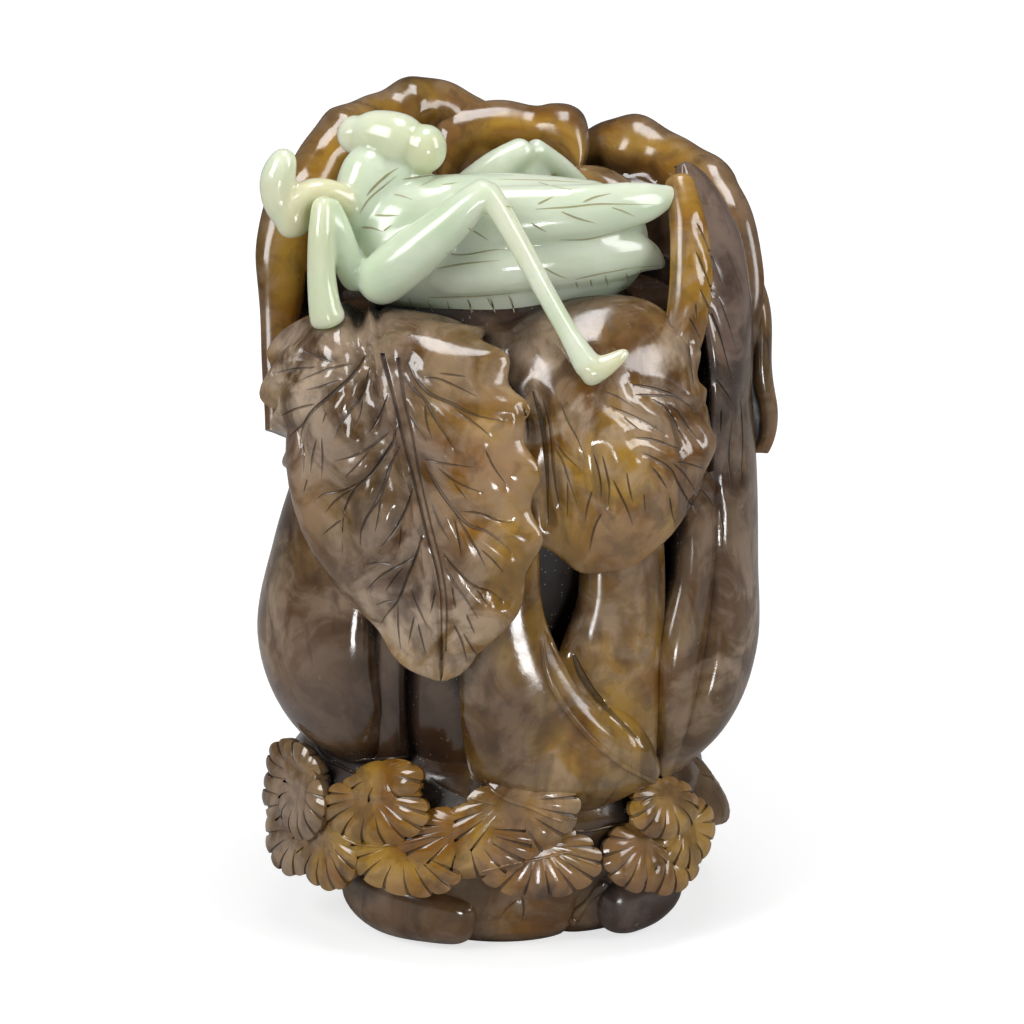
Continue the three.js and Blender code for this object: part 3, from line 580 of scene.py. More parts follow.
# The mantis, in millimetres from its seat on the crown
mantisSeat = (0, -14, 142)
mantis = {
    "trunk": {
        "spine": [
            (-32, 1, 0.5), (-23, 0, -0.8), (-12, 0, -1.9), (0, 0, -2.3), (12, 1, -2), (20, 3, -0.8),
            (27, 4, 1),
        ],
        "wide": [8, 12.5, 14.2, 14.8, 13.6, 11.4, 7], "deep": [6, 9, 10.5, 10.5, 9, 7.5, 5],
    },
    "upperWing": {
        "spine": [
            (34, 2.5, 8.6), (27, -1.5, 7.4), (18, -4.6, 6.6), (8, -6.6, 6.2), (-3, -7.4, 5.6),
            (-14, -6.4, 4.6),
        ],
        "wide": [0.8, 3.9, 5, 5.6, 6, 5.6], "deep": [0.8, 2.4, 3.4, 3.8, 3.8, 3.4], "up": (0, 1, -0.35),
    },
    "lowerWing": {
        "spine": [
            (30.6, 2, -6.4), (25.5, -1, -3.4), (17, -4.8, -3), (7, -7, -3.4), (-5, -8.4, -4.4),
            (-16, -7.4, -5.4),
        ],
        "wide": [0.8, 4, 5.2, 5.4, 5.2, 4.4], "deep": [0.8, 2.6, 3.4, 3.8, 3.6, 3],
    },
    "neck": {
        "spine": [(-28, -1, -2), (-28, 0, 5), (-27.2, 1, 11.5), (-25, 2.5, 16.5)],
        "wide": [6.4, 6.4, 5.8, 5], "deep": [5.5, 5.5, 5, 4.5],
    },
    "jaw": {
        "spine": [(-27, 1, 8), (-22, 1.4, 11.4), (-17.6, 1, 14)],
        "wide": [5.4, 5, 3.4], "deep": [5, 4.6, 3.4],
    },
    "head": {
        "spine": [(-30, 6, 18.2), (-26, 4.5, 19.2), (-21, 2.6, 18.6), (-16.4, 0.8, 17)],
        "wide": [3.6, 4.8, 5.2, 4.4], "deep": [3.4, 4.4, 5, 4.2],
    },
    "nearThigh": {
        "spine": [
            (-27.6, -9, -8.8), (-20.6, -12, -2.4), (-12.9, -13.4, 4.5), (-7.2, -14, 9.8), (-3, -13.5, 13.6),
        ],
        "wide": [4.8, 5.2, 4.4, 3.4, 2.4], "deep": [4.6, 5, 4.4, 3.6, 2.8],
    },
    "nearShin": {
        "spine": [
            (-4.6, -13.5, 13.6), (1.2, -16.5, 4.4), (7, -19.5, -5.8), (12, -22, -14.2), (16, -24, -20.4),
        ],
        "wide": [2.4, 2.2, 2, 2.1, 3], "deep": [2.6, 2.6, 2.4, 2.4, 2.8], "keel": 0.22, "keelAt": 240,
    },
    "nearToe": {
        "spine": [(13.8, -23.8, -21.4), (18.4, -23.6, -19.4), (23, -22, -16.8)], "wide": [3, 2.2, 1],
    },
    "middleThigh": {
        "spine": [(-28.6, -7, -8), (-31, -9, -2.4), (-33, -10, 4.4), (-35, -10, 9.8)],
        "wide": [3.2, 3.2, 2.9, 2.3], "up": (0, 1, 0.2), "keel": 0.18,
    },
    "middleShin": {
        "spine": [
            (-35.2, -10, 10.4), (-35.7, -12.5, 4), (-35.8, -14, -4), (-35.2, -15, -10), (-34.2, -15, -14),
        ],
        "wide": [2.4, 2.8, 3, 3.4, 4.2], "deep": [2.4, 2.8, 2.8, 3, 3.4], "keel": 0.2,
    },
    "foreArm": {
        "spine": [(-29, -2, 6), (-34, -4, 9.4), (-38.4, -5, 9.6), (-41.4, -6, 6), (-40.4, -6, 1.6)],
        "wide": [3.2, 2.8, 3, 3.6, 3.6], "deep": [3.2, 3, 3.4, 3.6, 3.4],
    },
    "claw": {
        "spine": [(-41.6, -5.5, 4), (-44.4, -6, 8.6), (-44.2, -5.5, 13.4), (-42.2, -4.6, 18.4)],
        "wide": [3, 3.2, 3.6, 2.2], "deep": [2.6, 2.6, 3, 2.2], "keel": 0.15,
    },
    "farThigh": {
        "spine": [(-12, 7, 4), (-3, 12, 10.4), (4.3, 16, 14.4)], "wide": [3.8, 3.6, 2.6], "deep": 3,
    },
    "farShin": {
        "spine": [(4, 16, 14.4), (11, 20, 8.6), (18, 24, 0), (22, 27, -8)], "wide": [2.4, 2.2, 2, 2.2],
    },
    "farWeb": {
        "spine": [(4.5, 14.4, 0), (4.4, 15.4, 7), (4.3, 16, 13.4)],
        "wide": [7, 4.8, 2.2], "deep": [2.2, 2.2, 2], "up": (-0.5, 0.87, 0.1),
    },
}
mantisEyes = {
    "farEye": ((-29.8, 6.2, 18.8), (3.6, 3.6, 3.9)), "nearEye": ((-16, 0.4, 17.4), (4.2, 4.2, 4.8)),
}
warmParts = {"foreArm": 0.55, "claw": 0.3, "middleShin": 0.25, "nearToe": 0.6, "nearShin": 0.15, "head": 0.25}
for name, sizes in mantis.items():
    big = name in ("trunk", "upperWing", "lowerWing")
    warm = warmParts.get(name, 0.0)
    limb(name, sizes, (warm, 0, 0), 50 if big else 32, 48 if big else 28, mantisSeat, True)
for name, (centre, half) in mantisEyes.items():
    ball(name, centre, half, (0.4, 0, 0), mantisSeat, True)
print("mantis shaped")

# Meshes, joins and cuts
def plainMaterial(name):
    material = bpy.data.materials.new(name)
    material.use_nodes = True
    return material


cloudedJade = plainMaterial("cloudedJade")
celadonJade = plainMaterial("celadonJade")
cutFaces = plainMaterial("cutFaces")  # only marks the faces of the cuts until the end
workMaterials = [cloudedJade, celadonJade, cutFaces]


def paint(mesh, slot):  # the three materials, and one of them on every face
    mesh.materials.clear()
    for material in workMaterials:
        mesh.materials.append(material)
    mesh.polygons.foreach_set("material_index", np.full(len(mesh.polygons), slot, dtype=np.int32))


def meshObject(name, points, faces, slot=0):
    mesh = bpy.data.meshes.new(name)
    mesh.from_pydata((np.asarray(points) * mm).tolist(), [], faces)
    paint(mesh, slot)
    return newObject(name, mesh)


def plainMesh(obj):  # the object's mesh with its modifiers applied
    bpy.context.view_layer.update()
    evaluated = obj.evaluated_get(bpy.context.evaluated_depsgraph_get())
    made = bpy.data.meshes.new_from_object(evaluated)
    obj.modifiers.clear()
    old = obj.data
    obj.data = made
    bpy.data.meshes.remove(old)


def modify(obj, kind, **settings):
    modifier = obj.modifiers.new(kind.lower(), kind)
    for key, value in settings.items():
        setattr(modifier, key, value)
    plainMesh(obj)


def combine(first, other, operation):
    modify(first, "BOOLEAN", operation=operation, solver="MANIFOLD", object=other)
    bpy.data.objects.remove(other)
    return first


def joinAll(objects):  # pairs first, so that no join is between one large and one small mesh for long
    while len(objects) > 1:
        pairs = [objects[i:i + 2] for i in range(0, len(objects), 2)]
        objects = [combine(p[0], p[1], "UNION") if len(p) == 2 else p[0] for p in pairs]
    return objects[0]


def readRows(items, key, columns, kind=float):  # one property of every item of a mesh
    rows = np.empty(len(items) * columns, dtype=kind)
    items.foreach_get(key, rows)
    return rows.reshape(-1, columns)


def meshPoints(mesh):
    return readRows(mesh.vertices, "co", 3)


def meshNormals(mesh):
    return readRows(mesh.vertices, "normal", 3)


def meshEdges(mesh):
    return readRows(mesh.edges, "vertices", 2, np.int64)


def meshTriangles(mesh):
    mesh.calc_loop_triangles()
    return readRows(mesh.loop_triangles, "vertices", 3, np.int32)


def setPoints(mesh, points):
    mesh.vertices.foreach_set("co", np.ascontiguousarray(points, dtype=np.float32).ravel())
    mesh.update()


def surfaceTree(mesh):
    return BVHTree.FromPolygons(meshPoints(mesh).tolist(), meshTriangles(mesh).tolist())


def pointTree(points):
    tree = KDTree(len(points))
    for number, p in enumerate(points):
        tree.insert(Vector(p), number)
    tree.balance()
    return tree


def smoothed(values, edges, rounds, share=0.5):  # each value moves towards the mean of its neighbours
    values = np.array(values, float)
    counts = np.bincount(edges.ravel(), minlength=len(values)).astype(float)
    if values.ndim > 1:
        counts = counts[:, None]
    for _ in range(rounds):
        total = np.zeros_like(values)
        np.add.at(total, edges[:, 0], values[edges[:, 1]])
        np.add.at(total, edges[:, 1], values[edges[:, 0]])
        values = values + (total / np.maximum(counts, 1) - values) * share
    return values


# The mantis is blended where its limbs meet, as polishing leaves it.
mantisBlend = {"voxel": 0.42, "rounds": 9, "share": 0.5, "keep": 0.5}
mantisObject = joinAll([meshObject(s["name"], s["points"], s["faces"], 1) for s in shells if s["mantis"]])
modify(mantisObject, "REMESH", mode="VOXEL", voxel_size=mantisBlend["voxel"] * mm / fineness, adaptivity=0)
mesh = mantisObject.data
setPoints(mesh, smoothed(meshPoints(mesh), meshEdges(mesh), mantisBlend["rounds"], mantisBlend["share"]))
modify(mantisObject, "DECIMATE", ratio=mantisBlend["keep"])
paint(mantisObject.data, 1)
print("mantis blended:", len(mantisObject.data.polygons), "faces")

cabbageObject = joinAll([meshObject(s["name"], s["points"], s["faces"]) for s in shells if not s["mantis"]])
print("cabbage joined:", len(cabbageObject.data.polygons), "faces")
carving = combine(cabbageObject, mantisObject, "UNION")
carving.name = "cabbageAndMantis"
print("carving joined:", len(carving.data.polygons), "faces")

# Carved lines, seen from the camera. Each list is a part of the carving, and each line in it is a width
# in millimetres, then places in tenths of a millimetre right of and above the middle of the view.
carvedLines = {
    "leftLeafRib": [
        [0.5, -264, 321, -241, 233, -218, 136, -194, 43, -174, -41, -153, -120, -144, -189, -144, -300],
        [0.5, -232, 312, -220, 233, -204, 159, -187, 71, -166, -22, -144, -110, -133, -189, -135, -282]
    ],
    "leftLeaf": [
        [0.42, -299, 314, -320, 280, -366, 238, -408, 201, -426, 168, -431, 129], [0.3, -366, 302, -408, 319,
        -426, 326], [0.3, -327, 299, -380, 286, -431, 266], [0.28, -403, 292, -445, 288, -482, 280], [0.28,
        -352, 266, -385, 254, -420, 246], [0.3, -401, 218, -440, 208, -470, 194], [0.28, -419, 182, -454,
        152], [0.34, -290, 291, -301, 242, -324, 210, -348, 177, -361, 147], [0.28, -302, 228, -308, 196,
        -322, 165], [0.32, -252, 238, -264, 205, -278, 177, -295, 156], [0.24, -378, 201, -385, 178], [0.42,
        -235, 168, -245, 136, -269, 99, -292, 71, -320, 43, -338, 10, -344, -27, -345, -87], [0.34, -251,
        160, -287, 131, -324, 112, -361, 103], [0.3, -291, 122, -315, 94, -340, 69], [0.32, -306, 61, -343,
        43, -380, 36, -398, 25], [0.28, -320, 48, -357, 24, -382, -5], [0.28, -348, -17, -366, -31, -386,
        -47], [0.26, -424, 136, -423, 108, -424, 78], [0.26, -398, 145, -406, 108, -410, 78], [0.26, -387,
        150, -385, 108, -388, 66], [0.24, -416, 66, -424, 37], [0.36, -229, 131, -245, 99, -257, 61, -273,
        24, -296, -13, -307, -41, -308, -73], [0.28, -266, 24, -271, -8, -279, -42], [0.34, -203, 48, -213,
        10, -232, -27, -252, -55, -272, -75], [0.26, -225, -29, -226, -55, -232, -79], [0.36, -184, -50,
        -194, -87, -213, -133, -232, -180, -255, -208, -276, -240], [0.3, -201, -92, -232, -110, -269, -131,
        -296, -159], [0.26, -245, -108, -273, -103, -300, -108], [0.28, -222, -113, -241, -138, -259, -162],
        [0.26, -238, -179, -259, -182, -277, -189], [0.26, -204, -157, -190, -194, -169, -241], [0.24, -232,
        -187, -231, -236, -226, -282], [0.24, -199, -212, -211, -269], [0.22, -191, -226, -174, -294], [0.24,
        -156, -161, -167, -209], [0.4, -213, 303, -194, 266, -167, 238, -125, 219, -83, 198, -51, 189, -11,
        182], [0.26, -178, 272, -148, 268, -111, 252, -67, 231], [0.24, -148, 280, -92, 273], [0.26, -116,
        208, -74, 177, -41, 150], [0.34, -226, 286, -204, 252, -176, 224, -153, 182, -129, 145, -112, 116],
        [0.26, -177, 215, -174, 182, -162, 144], [0.28, -218, 215, -199, 182, -169, 135], [0.38, -178, 96,
        -153, 52, -120, 6, -88, -27, -51, -41, -20, -64, 0, -83], [0.28, -178, 107, -153, 100, -116, 94, -73,
        89], [0.28, -150, 88, -120, 64, -88, 48, -59, 38], [0.24, -118, 57, -95, 28], [0.28, -104, 1, -64,
        -4, -32, -17, 0, -23], [0.28, -117, -17, -109, -55, -103, -89], [0.3, -115, -6, -88, -50, -69, -82,
        -55, -111], [0.26, -62, -78, -37, -101, -16, -126], [0.28, -163, 15, -148, -22, -127, -60], [0.34,
        -139, -87, -111, -120, -78, -150, -46, -161, -17, -181], [0.3, -136, -113, -116, -147, -92, -180,
        -69, -217], [0.24, -73, -157, -51, -188], [0.24, -122, -152, -115, -197], [0.26, -93, -208, -76,
        -247], [0.26, -118, -229, -102, -263, -92, -306], [0.24, -99, -246, -83, -273, -68, -296], [0.26,
        -55, 126, -37, 89, -10, 52]
    ],
    "rightLeaf": [
        [0.55, 42, 244, 53, 207, 63, 160, 69, 100, 71, 46, 73, -24], [0.4, 63, 227, 76, 180, 81, 133, 83, 93,
        89, 46, 97, 9], [0.3, 24, 210, 31, 173, 31, 142], [0.28, 88, 146, 103, 120, 116, 106, 134, 89],
        [0.26, 87, 131, 103, 100, 113, 69, 133, 12], [0.22, 112, 59, 113, 29, 111, -13], [0.24, 98, 220, 113,
        183, 133, 146, 147, 109], [0.26, 165, 116, 175, 83, 180, 53, 180, 25], [0.28, 183, 113, 193, 73, 197,
        46, 195, 12], [0.22, 163, 44, 153, 12, 148, -18], [0.28, 205, 64, 220, 33, 233, 6, 245, -28], [0.26,
        181, -4, 166, -34, 156, -82], [0.24, 232, 79, 238, 46, 245, 18], [0.2, 267, 36, 270, -1], [0.3, 284,
        90, 300, 69, 315, 44], [0.34, 264, 120, 290, 106, 321, 86, 341, 49, 364, 12, 375, -4], [0.26, 327,
        98, 351, 74, 374, 36], [0.24, 334, 100, 361, 96, 391, 86], [0.32, 250, 149, 284, 146, 314, 136, 345,
        124], [0.24, 190, 242, 217, 230, 250, 209], [0.28, 197, 213, 237, 197, 277, 177, 316, 154], [0.24,
        227, 190, 243, 177, 264, 161], [0.36, 245, 257, 284, 250, 317, 240, 348, 228], [0.3, 250, 237, 290,
        235, 334, 230, 374, 203], [0.32, 284, 228, 307, 213, 327, 187, 338, 163, 351, 139], [0.28, 317, 215,
        337, 200, 357, 170, 381, 143], [0.22, 319, 29, 327, -14, 347, -51]
    ],
    "uprightLeaf": [
        [0.3, 374, 584, 388, 556, 411, 500, 431, 456], [0.34, 381, 449, 402, 403, 425, 342, 447, 255], [0.3,
        358, 393, 379, 356, 404, 317], [0.26, 358, 347, 361, 305, 369, 254], [0.28, 390, 305, 397, 268, 409,
        217], [0.28, 413, 268, 430, 245, 451, 215], [0.26, 372, 421, 374, 384], [0.28, 372, 528, 395, 472,
        409, 435], [0.26, 418, 435, 437, 384, 453, 333], [0.28, 354, 341, 364, 280, 368, 255], [0.28, 393,
        304, 401, 254, 411, 203, 414, 130], [0.24, 414, 267, 438, 233], [0.26, 424, 207, 422, 160], [0.24,
        394, 83, 408, 64], [0.3, 401, 113, 414, 63, 423, 32], [0.26, 381, 46, 398, 26, 410, 7], [0.28, 446,
        186, 438, 115, 446, 40], [0.26, 463, 226, 467, 145, 463, 65], [0.24, 420, 14, 428, -36, 424, -81]
    ],
    "mantis": [
        [0.3, -295, 640, -275, 662, -250, 684, -231, 696], [0.24, -310, 604, -290, 633, -261, 658, -235,
        680], [0.22, -279, 600, -254, 599, -230, 600], [0.24, -306, 575, -286, 574, -261, 566], [0.2, -261,
        568, -245, 580], [0.22, -241, 642, -225, 639, -202, 631], [0.22, -185, 660, -153, 675, -123, 681],
        [0.2, -142, 662, -110, 666], [0.2, -223, 672, -192, 677, -149, 682], [0.2, -90, 574, -70, 563, -47,
        548], [0.18, -135, 523, -99, 520, -44, 529, -12, 532], [0.2, -153, 492, -99, 502, -23, 509], [0.22,
        52, 667, 86, 658, 131, 649], [0.22, 175, 667, 216, 653, 253, 641], [0.24, 52, 622, 68, 630, 84, 638],
        [0.24, 143, 626, 170, 637, 201, 644], [0.2, 47, 612, 114, 616, 170, 622, 230, 622, 294, 622], [0.24,
        99, 607, 133, 593, 171, 583], [0.22, 202, 615, 226, 607, 249, 597], [0.2, 38, 584, 54, 574, 71, 565],
        [0.22, -30, 673, 63, 671, 133, 667, 207, 663], [0.2, -13, 618, 2, 616], [0.2, 96, 550, 151, 551, 207,
        565, 253, 579, 286, 593, 318, 607], [0.2, 129, 470, 179, 481, 249, 493, 299, 498], [0.22, 66, 493,
        86, 481, 114, 470], [0.22, -171, 434, -117, 433, -44, 438, 16, 444], [0.22, -141, 434, -90, 435, -43,
        438, -1, 444]
    ],
    "mantisTicks": [
        [0.18, -210, 433, -207, 423, -204, 413], [0.18, -173, 428, -167, 416, -162, 404], [0.18, -133, 427,
        -129, 414, -126, 402], [0.18, -88, 427, -85, 413, -82, 399], [0.18, -44, 431, -39, 415, -34, 400],
        [0.18, -3, 433, 1, 417, 4, 402], [0.18, -91, 430, -86, 417, -81, 405], [0.18, -50, 432, -44, 420,
        -38, 407], [0.18, -7, 438, -3, 425, 2, 412], [0.18, 129, 465, 131, 457, 134, 450], [0.18, 158, 470,
        160, 462, 163, 454], [0.18, 188, 478, 192, 465, 195, 453], [0.18, 230, 483, 234, 473, 237, 462],
        [0.18, 259, 488, 262, 481, 265, 475]
    ],
    "bedRidges": [
        [0.45, -397, -474, -379, -497, -342, -517, -315, -529, -288, -529, -265, -516, -235, -509, -204,
        -509, -178, -524, -161, -544, -141, -571, -117, -595, -84, -608, -47, -606, -24, -601], [0.3, -164,
        -538, -134, -558, -87, -578, -54, -588, -27, -593], [0.3, -325, -504, -295, -500, -255, -499, -228,
        -497, -204, -489], [0.35, -348, -656, -315, -672, -265, -675, -214, -668, -164, -656, -131, -655],
        [0.45, -57, -541, -36, -567, -3, -585, 40, -599, 72, -615, 98, -626], [0.35, 118, -644, 152, -646,
        188, -639, 224, -630, 253, -617], [0.35, 260, -592, 282, -579, 307, -576], [0.3, -65, -729, -11,
        -715, 44, -704, 87, -694, 123, -686], [0.3, 134, -701, 155, -709, 173, -715]
    ],
    "besideRim": [
        [0.5, 89, -260, 103, -316, 132, -368, 184, -430, 242, -481, 290, -512], [0.5, 124, -290, 140, -330,
        170, -375, 214, -420, 256, -460]
    ],
    "sheathRim": [[0.75, 59, -259, 73, -329, 103, -390, 158, -457, 222, -511, 289, -547]],
    "footScar": [[1.3, 116, -832, 137, -805, 166, -772, 188, -747]],
    "footCrack": [[0.3, 19, -776, 23, -801, 20, -826]],
}
lineGap = 6  # the longest step of a line over the skin


def sightPath(tree, places):  # the places of a line laid on the surface that the camera sees
    corners = [(x / 10, z / 10, 0) for x, z in zip(places[::2], places[1::2])]
    path = []
    for x, z, _ in along(corners, np.linspace(0, 1, max(6, 5 * (len(corners) - 1)))):
        ray = unit(np.array(photoView["target"]) + viewRight * x + viewUp * z - eye)
        hit = tree.ray_cast(Vector(eye * mm), Vector(ray))[0]
        if hit is not None:
            path.append(np.array(hit) / mm)
    keep = path[:1]
    for p in path[1:]:  # a line ends where the surface falls away
        if np.linalg.norm(p - keep[-1]) > lineGap:
            break
        keep.append(p)
    return np.array(keep)


# Node trees
def groupTree(name, inputs, outputs, kind="ShaderNodeTree"):
    tree = bpy.data.node_groups.new(name, kind)
    for label, socketKind, *default in inputs:
        socket = tree.interface.new_socket(label, in_out="INPUT", socket_type=f"NodeSocket{socketKind}")
        if default:
            socket.default_value = default[0]
    for label, socketKind in outputs:
        tree.interface.new_socket(label, in_out="OUTPUT", socket_type=f"NodeSocket{socketKind}")
    return tree, tree.nodes.new("NodeGroupInput"), tree.nodes.new("NodeGroupOutput")


def setInputs(tree, node, values):  # each value is a socket to link or a plain value
    for key, value in values.items():
        if isinstance(value, bpy.types.NodeSocket):
            tree.links.new(value, node.inputs[key])
        else:
            node.inputs[key].default_value = value
    return node


def addNode(tree, kind, values=None, **settings):
    node = tree.nodes.new(kind)
    for key, value in settings.items():
        setattr(node, key, value)
    return setInputs(tree, node, values or {})


def mixed(tree, share, first, second):  # a colour mix
    return addNode(tree, "ShaderNodeMix", {0: share, 6: first, 7: second}, data_type="RGBA").outputs[2]


def sums(tree, operation, first, second, clamp=False):
    values = {0: first, 1: second}
    return addNode(tree, "ShaderNodeMath", values, operation=operation, use_clamp=clamp).outputs[0]


# A tapered bar along every edge path, with a closed end.
lineTree, lineIn, lineOut = groupTree("carvedLine", [
    ("Paths", "Geometry"), ("Sides", "Int", 6), ("Width", "Float", 1.0), ("Material", "Material"),
], [("Bars", "Geometry")], "GeometryNodeTree")
curve = addNode(lineTree, "GeometryNodeMeshToCurve", {"Mesh": lineIn.outputs["Paths"]})
radius = addNode(lineTree, "GeometryNodeInputNamedAttribute", {"Name": "lineRadius"}, data_type="FLOAT")
circle = addNode(lineTree, "GeometryNodeCurvePrimitiveCircle", {
    "Resolution": lineIn.outputs["Sides"], "Radius": 1.0,
}, mode="RADIUS")
sweep = addNode(lineTree, "GeometryNodeCurveToMesh", {
    "Curve": curve.outputs[0], "Profile Curve": circle.outputs["Curve"], "Fill Caps": True,
    "Scale": sums(lineTree, "MULTIPLY", radius.outputs["Attribute"], lineIn.outputs["Width"]),
})
real = addNode(lineTree, "GeometryNodeRealizeInstances", {"Geometry": sweep.outputs["Mesh"]})
bars = addNode(lineTree, "GeometryNodeSetMaterial", {
    "Geometry": real.outputs[0], "Material": lineIn.outputs["Material"],
})
setInputs(lineTree, lineOut, {"Bars": bars.outputs[0]})


def barsAlong(name, lines, sides, material):  # lines: (points, radii)
    points = np.concatenate([p for p, _ in lines]) * mm
    radii = np.concatenate([r for _, r in lines]) * mm
    edges, start = [], 0
    for p, _ in lines:
        edges += [(start + i, start + i + 1) for i in range(len(p) - 1)]
        start += len(p)
    mesh = bpy.data.meshes.new(name)
    mesh.from_pydata(points.tolist(), edges, [])
    mesh.attributes.new("lineRadius", "FLOAT", "POINT").data.foreach_set("value", radii)
    obj = newObject(name, mesh)
    modifier = obj.modifiers.new("bars", "NODES")
    modifier.node_group = lineTree
    values = {"Sides": sides, "Width": 1.0, "Material": material}
    for item in lineTree.interface.items_tree:
        if item.in_out == "INPUT" and item.name in values:
            modifier[item.identifier] = values[item.name]
    plainMesh(obj)
    made = obj.data
    paint(made, workMaterials.index(material))
    if cornerVolume(*meshPoints(made)[meshTriangles(made)].transpose(1, 0, 2)) < 0:
        made.flip_normals()
    return obj


def touching(first, second):  # within half a millimetre; two lines far apart aren't measured
    (points, radii), (others, otherRadii) = first, second
    if np.linalg.norm(others.mean(0) - points.mean(0)) >= 40:
        return False
    between = np.linalg.norm(points[:, None] - others[None], axis=-1)
    return np.min(between - radii[:, None] - otherRadii[None]) < 0.5


def apart(lines):  # sorts the lines into sets in which no two touch
    sets = []
    for line in lines:
        for group in sets:
            if not any(touching(line, other) for other in group):
                group.append(line)
                break
        else:
            sets.append([line])
    return sets


def layLines(obj):  # each line's width and its path on the skin
    tree = surfaceTree(obj.data)
    laid = {}
    for name, lines in carvedLines.items():
        found = [(line[0], sightPath(tree, line[1:])) for line in lines]
        laid[name] = [(width, path) for width, path in found if len(path) > 2]
    return laid


# Soft hollows beside the veins, pressed into the skin before the lines are cut.
def press(obj, lines, depth, width):
    points, normals = meshPoints(obj.data) / mm, meshNormals(obj.data)
    marks = np.concatenate([path for _, path in lines])
    spots, reach = pointTree(marks), 3 * width
    close = ((points > marks.min(0) - reach) & (points < marks.max(0) + reach)).all(1)
    for i in np.where(close)[0]:
        distance = spots.find(Vector(points[i]))[2]
        if distance < reach:
            points[i] -= normals[i] * depth * math.exp(-((distance / width) ** 2))
    setPoints(obj.data, points * mm)


def dense(lines):  # more points along each path, for even hollows
    return [(w, along(p, np.linspace(0, 1, 4 * len(p)))) for w, p in lines]


paths = layLines(carving)
presses = [  # lines, least and most of their width, then the depth and the width of the hollow
    ("leftLeaf", 0.33, 9, 1.0, 1.5), ("leftLeaf", 0, 0.33, 0.4, 0.9),
    ("rightLeaf", 0.27, 9, 0.8, 1.4), ("rightLeaf", 0, 0.27, 0.35, 0.9),
    ("uprightLeaf", 0, 9, 0.4, 1.0), ("besideRim", 0, 9, 1.7, 2.2),
]
for name, least, most, depth, width in presses:
    press(carving, dense([line for line in paths[name] if least < line[0] <= most]), depth, width)
paths = layLines(carving)  # once more, on the pressed skin


def tapered(width, path, start=0.35, end=0.12):
    u = np.linspace(0, 1, len(path))
    opening = start + (1 - start) * np.clip(u / 0.2, 0, 1)
    return width * opening * (end + (1 - end) * np.clip((1 - u) / 0.45, 0, 1))


def swelling(width, path):  # fullest in the middle of a raised edge
    return width * (0.3 + 0.7 * np.sin(np.linspace(0.15, 2.99, len(path))) ** 0.4)


# Raised edges first, so that the cuts also cross them.
barSides = {"raised": 10, "cut": 6}
raised = [(path, swelling(width, path)) for name in ("bedRidges", "sheathRim") for width, path in paths[name]]
scar = [(p, w * (0.75 + 0.25 * np.sin(np.linspace(0, 9, len(p))))) for w, p in paths["footScar"]]
for i, group in enumerate(apart(raised + scar)):
    combine(carving, barsAlong(f"raised{i}", group, barSides["raised"], cloudedJade), "UNION")
print("edges raised:", len(carving.data.polygons), "faces")

cuts = []
besideRimCut = 0.9
for name in ("leftLeafRib", "leftLeaf", "rightLeaf", "uprightLeaf", "mantis", "mantisTicks", "footCrack"):
    for width, path in paths[name]:
        radii = width * np.linspace(1, 0.5, len(path)) if name == "leftLeafRib" else tapered(width, path)
        cuts.append((path, radii))
cuts += [(path, tapered(besideRimCut, path)) for _, path in paths["besideRim"]]
cuts += fanCuts
for i, group in enumerate(apart(cuts)):
    combine(carving, barsAlong(f"cut{i}", group, barSides["cut"], cutFaces), "DIFFERENCE")
print("lines cut:", len(carving.data.polygons), "faces in", len(cuts), "lines")

# One mesh, of at most 190,000 triangles
mostTriangles = 190000
boxMargin = 0.00002
sharpAngle = math.radians(38)
count = len(meshTriangles(carving.data))
if count > mostTriangles:
    modify(carving, "DECIMATE", ratio=mostTriangles / count)
mesh = carving.data
mesh.polygons.foreach_set("use_smooth", np.ones(len(mesh.polygons), dtype=bool))
mesh.set_sharp_from_angle(angle=sharpAngle)

# The fine skin runs some tenths of a millimetre past the plain solid, so it is scaled into its box.
points = meshPoints(mesh)
low, high = points.min(0), points.max(0)
solidLow, solidHigh = np.array(cadBox[0]) + boxMargin, np.array(cadBox[1]) - boxMargin
setPoints(mesh, solidLow + (points - low) / (high - low) * (solidHigh - solidLow))
print("one mesh:", len(meshTriangles(mesh)), "triangles")

# What the materials read from the shape: tint, hollow (painted as shade and dust), thin (painted as a glow at
# thin edges) and cut
points, normals, edges = meshPoints(mesh) / mm, meshNormals(mesh), meshEdges(mesh)
spots = pointTree(np.concatenate([s["points"] for s in shells]))
allTints = np.concatenate([s["tint"] for s in shells])
allMantis = np.concatenate([np.full(len(s["points"]), s["mantis"]) for s in shells])
nearest = np.array([spots.find(Vector(p))[1] for p in points])
tint = smoothed(allTints[nearest], edges, 12)
onMantis = allMantis[nearest]

# Clouds in the stone, each with a centre, a reach and what it adds of honey, violet and pale.
clouds = [
    ((-46, -20, 66), 14, (0.35, 0, 0.45)), ((-38, -30, 52), 16, (0, 0.3, -0.1)),
    ((-40, -35, 92), 9, (0.9, -0.4, 0.1)), ((-6, -44, 100), 12, (0.6, -0.2, 0)),
    ((-14, -44, 64), 12, (0.15, -0.1, 0.5)), ((12, -42, 44), 10, (0.5, -0.3, 0.5)),
    ((20, -36, 60), 12, (0.4, 0, 0.2)), ((46, -12, 60), 16, (-0.1, 0, 0.35)),
    ((20, -40, 100), 13, (0.5, -0.3, 0.1)), ((6, -36, 118), 10, (-0.3, 0.2, 0.35)),
    ((-10, -45, 20), 14, (0.3, -0.3, 0.1)), ((-46, -18, 22), 12, (-0.3, 0.5, 0.2)),
    ((6, -36, 6), 9, (0.5, -0.3, 0.1)), ((30, -26, 8), 14, (-0.2, 0.3, -0.1)),
]
for centre, reach, change in clouds:
    share = bell(np.linalg.norm(points - np.array(centre), axis=1), reach)
    tint = tint + share[:, None] * np.array(change)
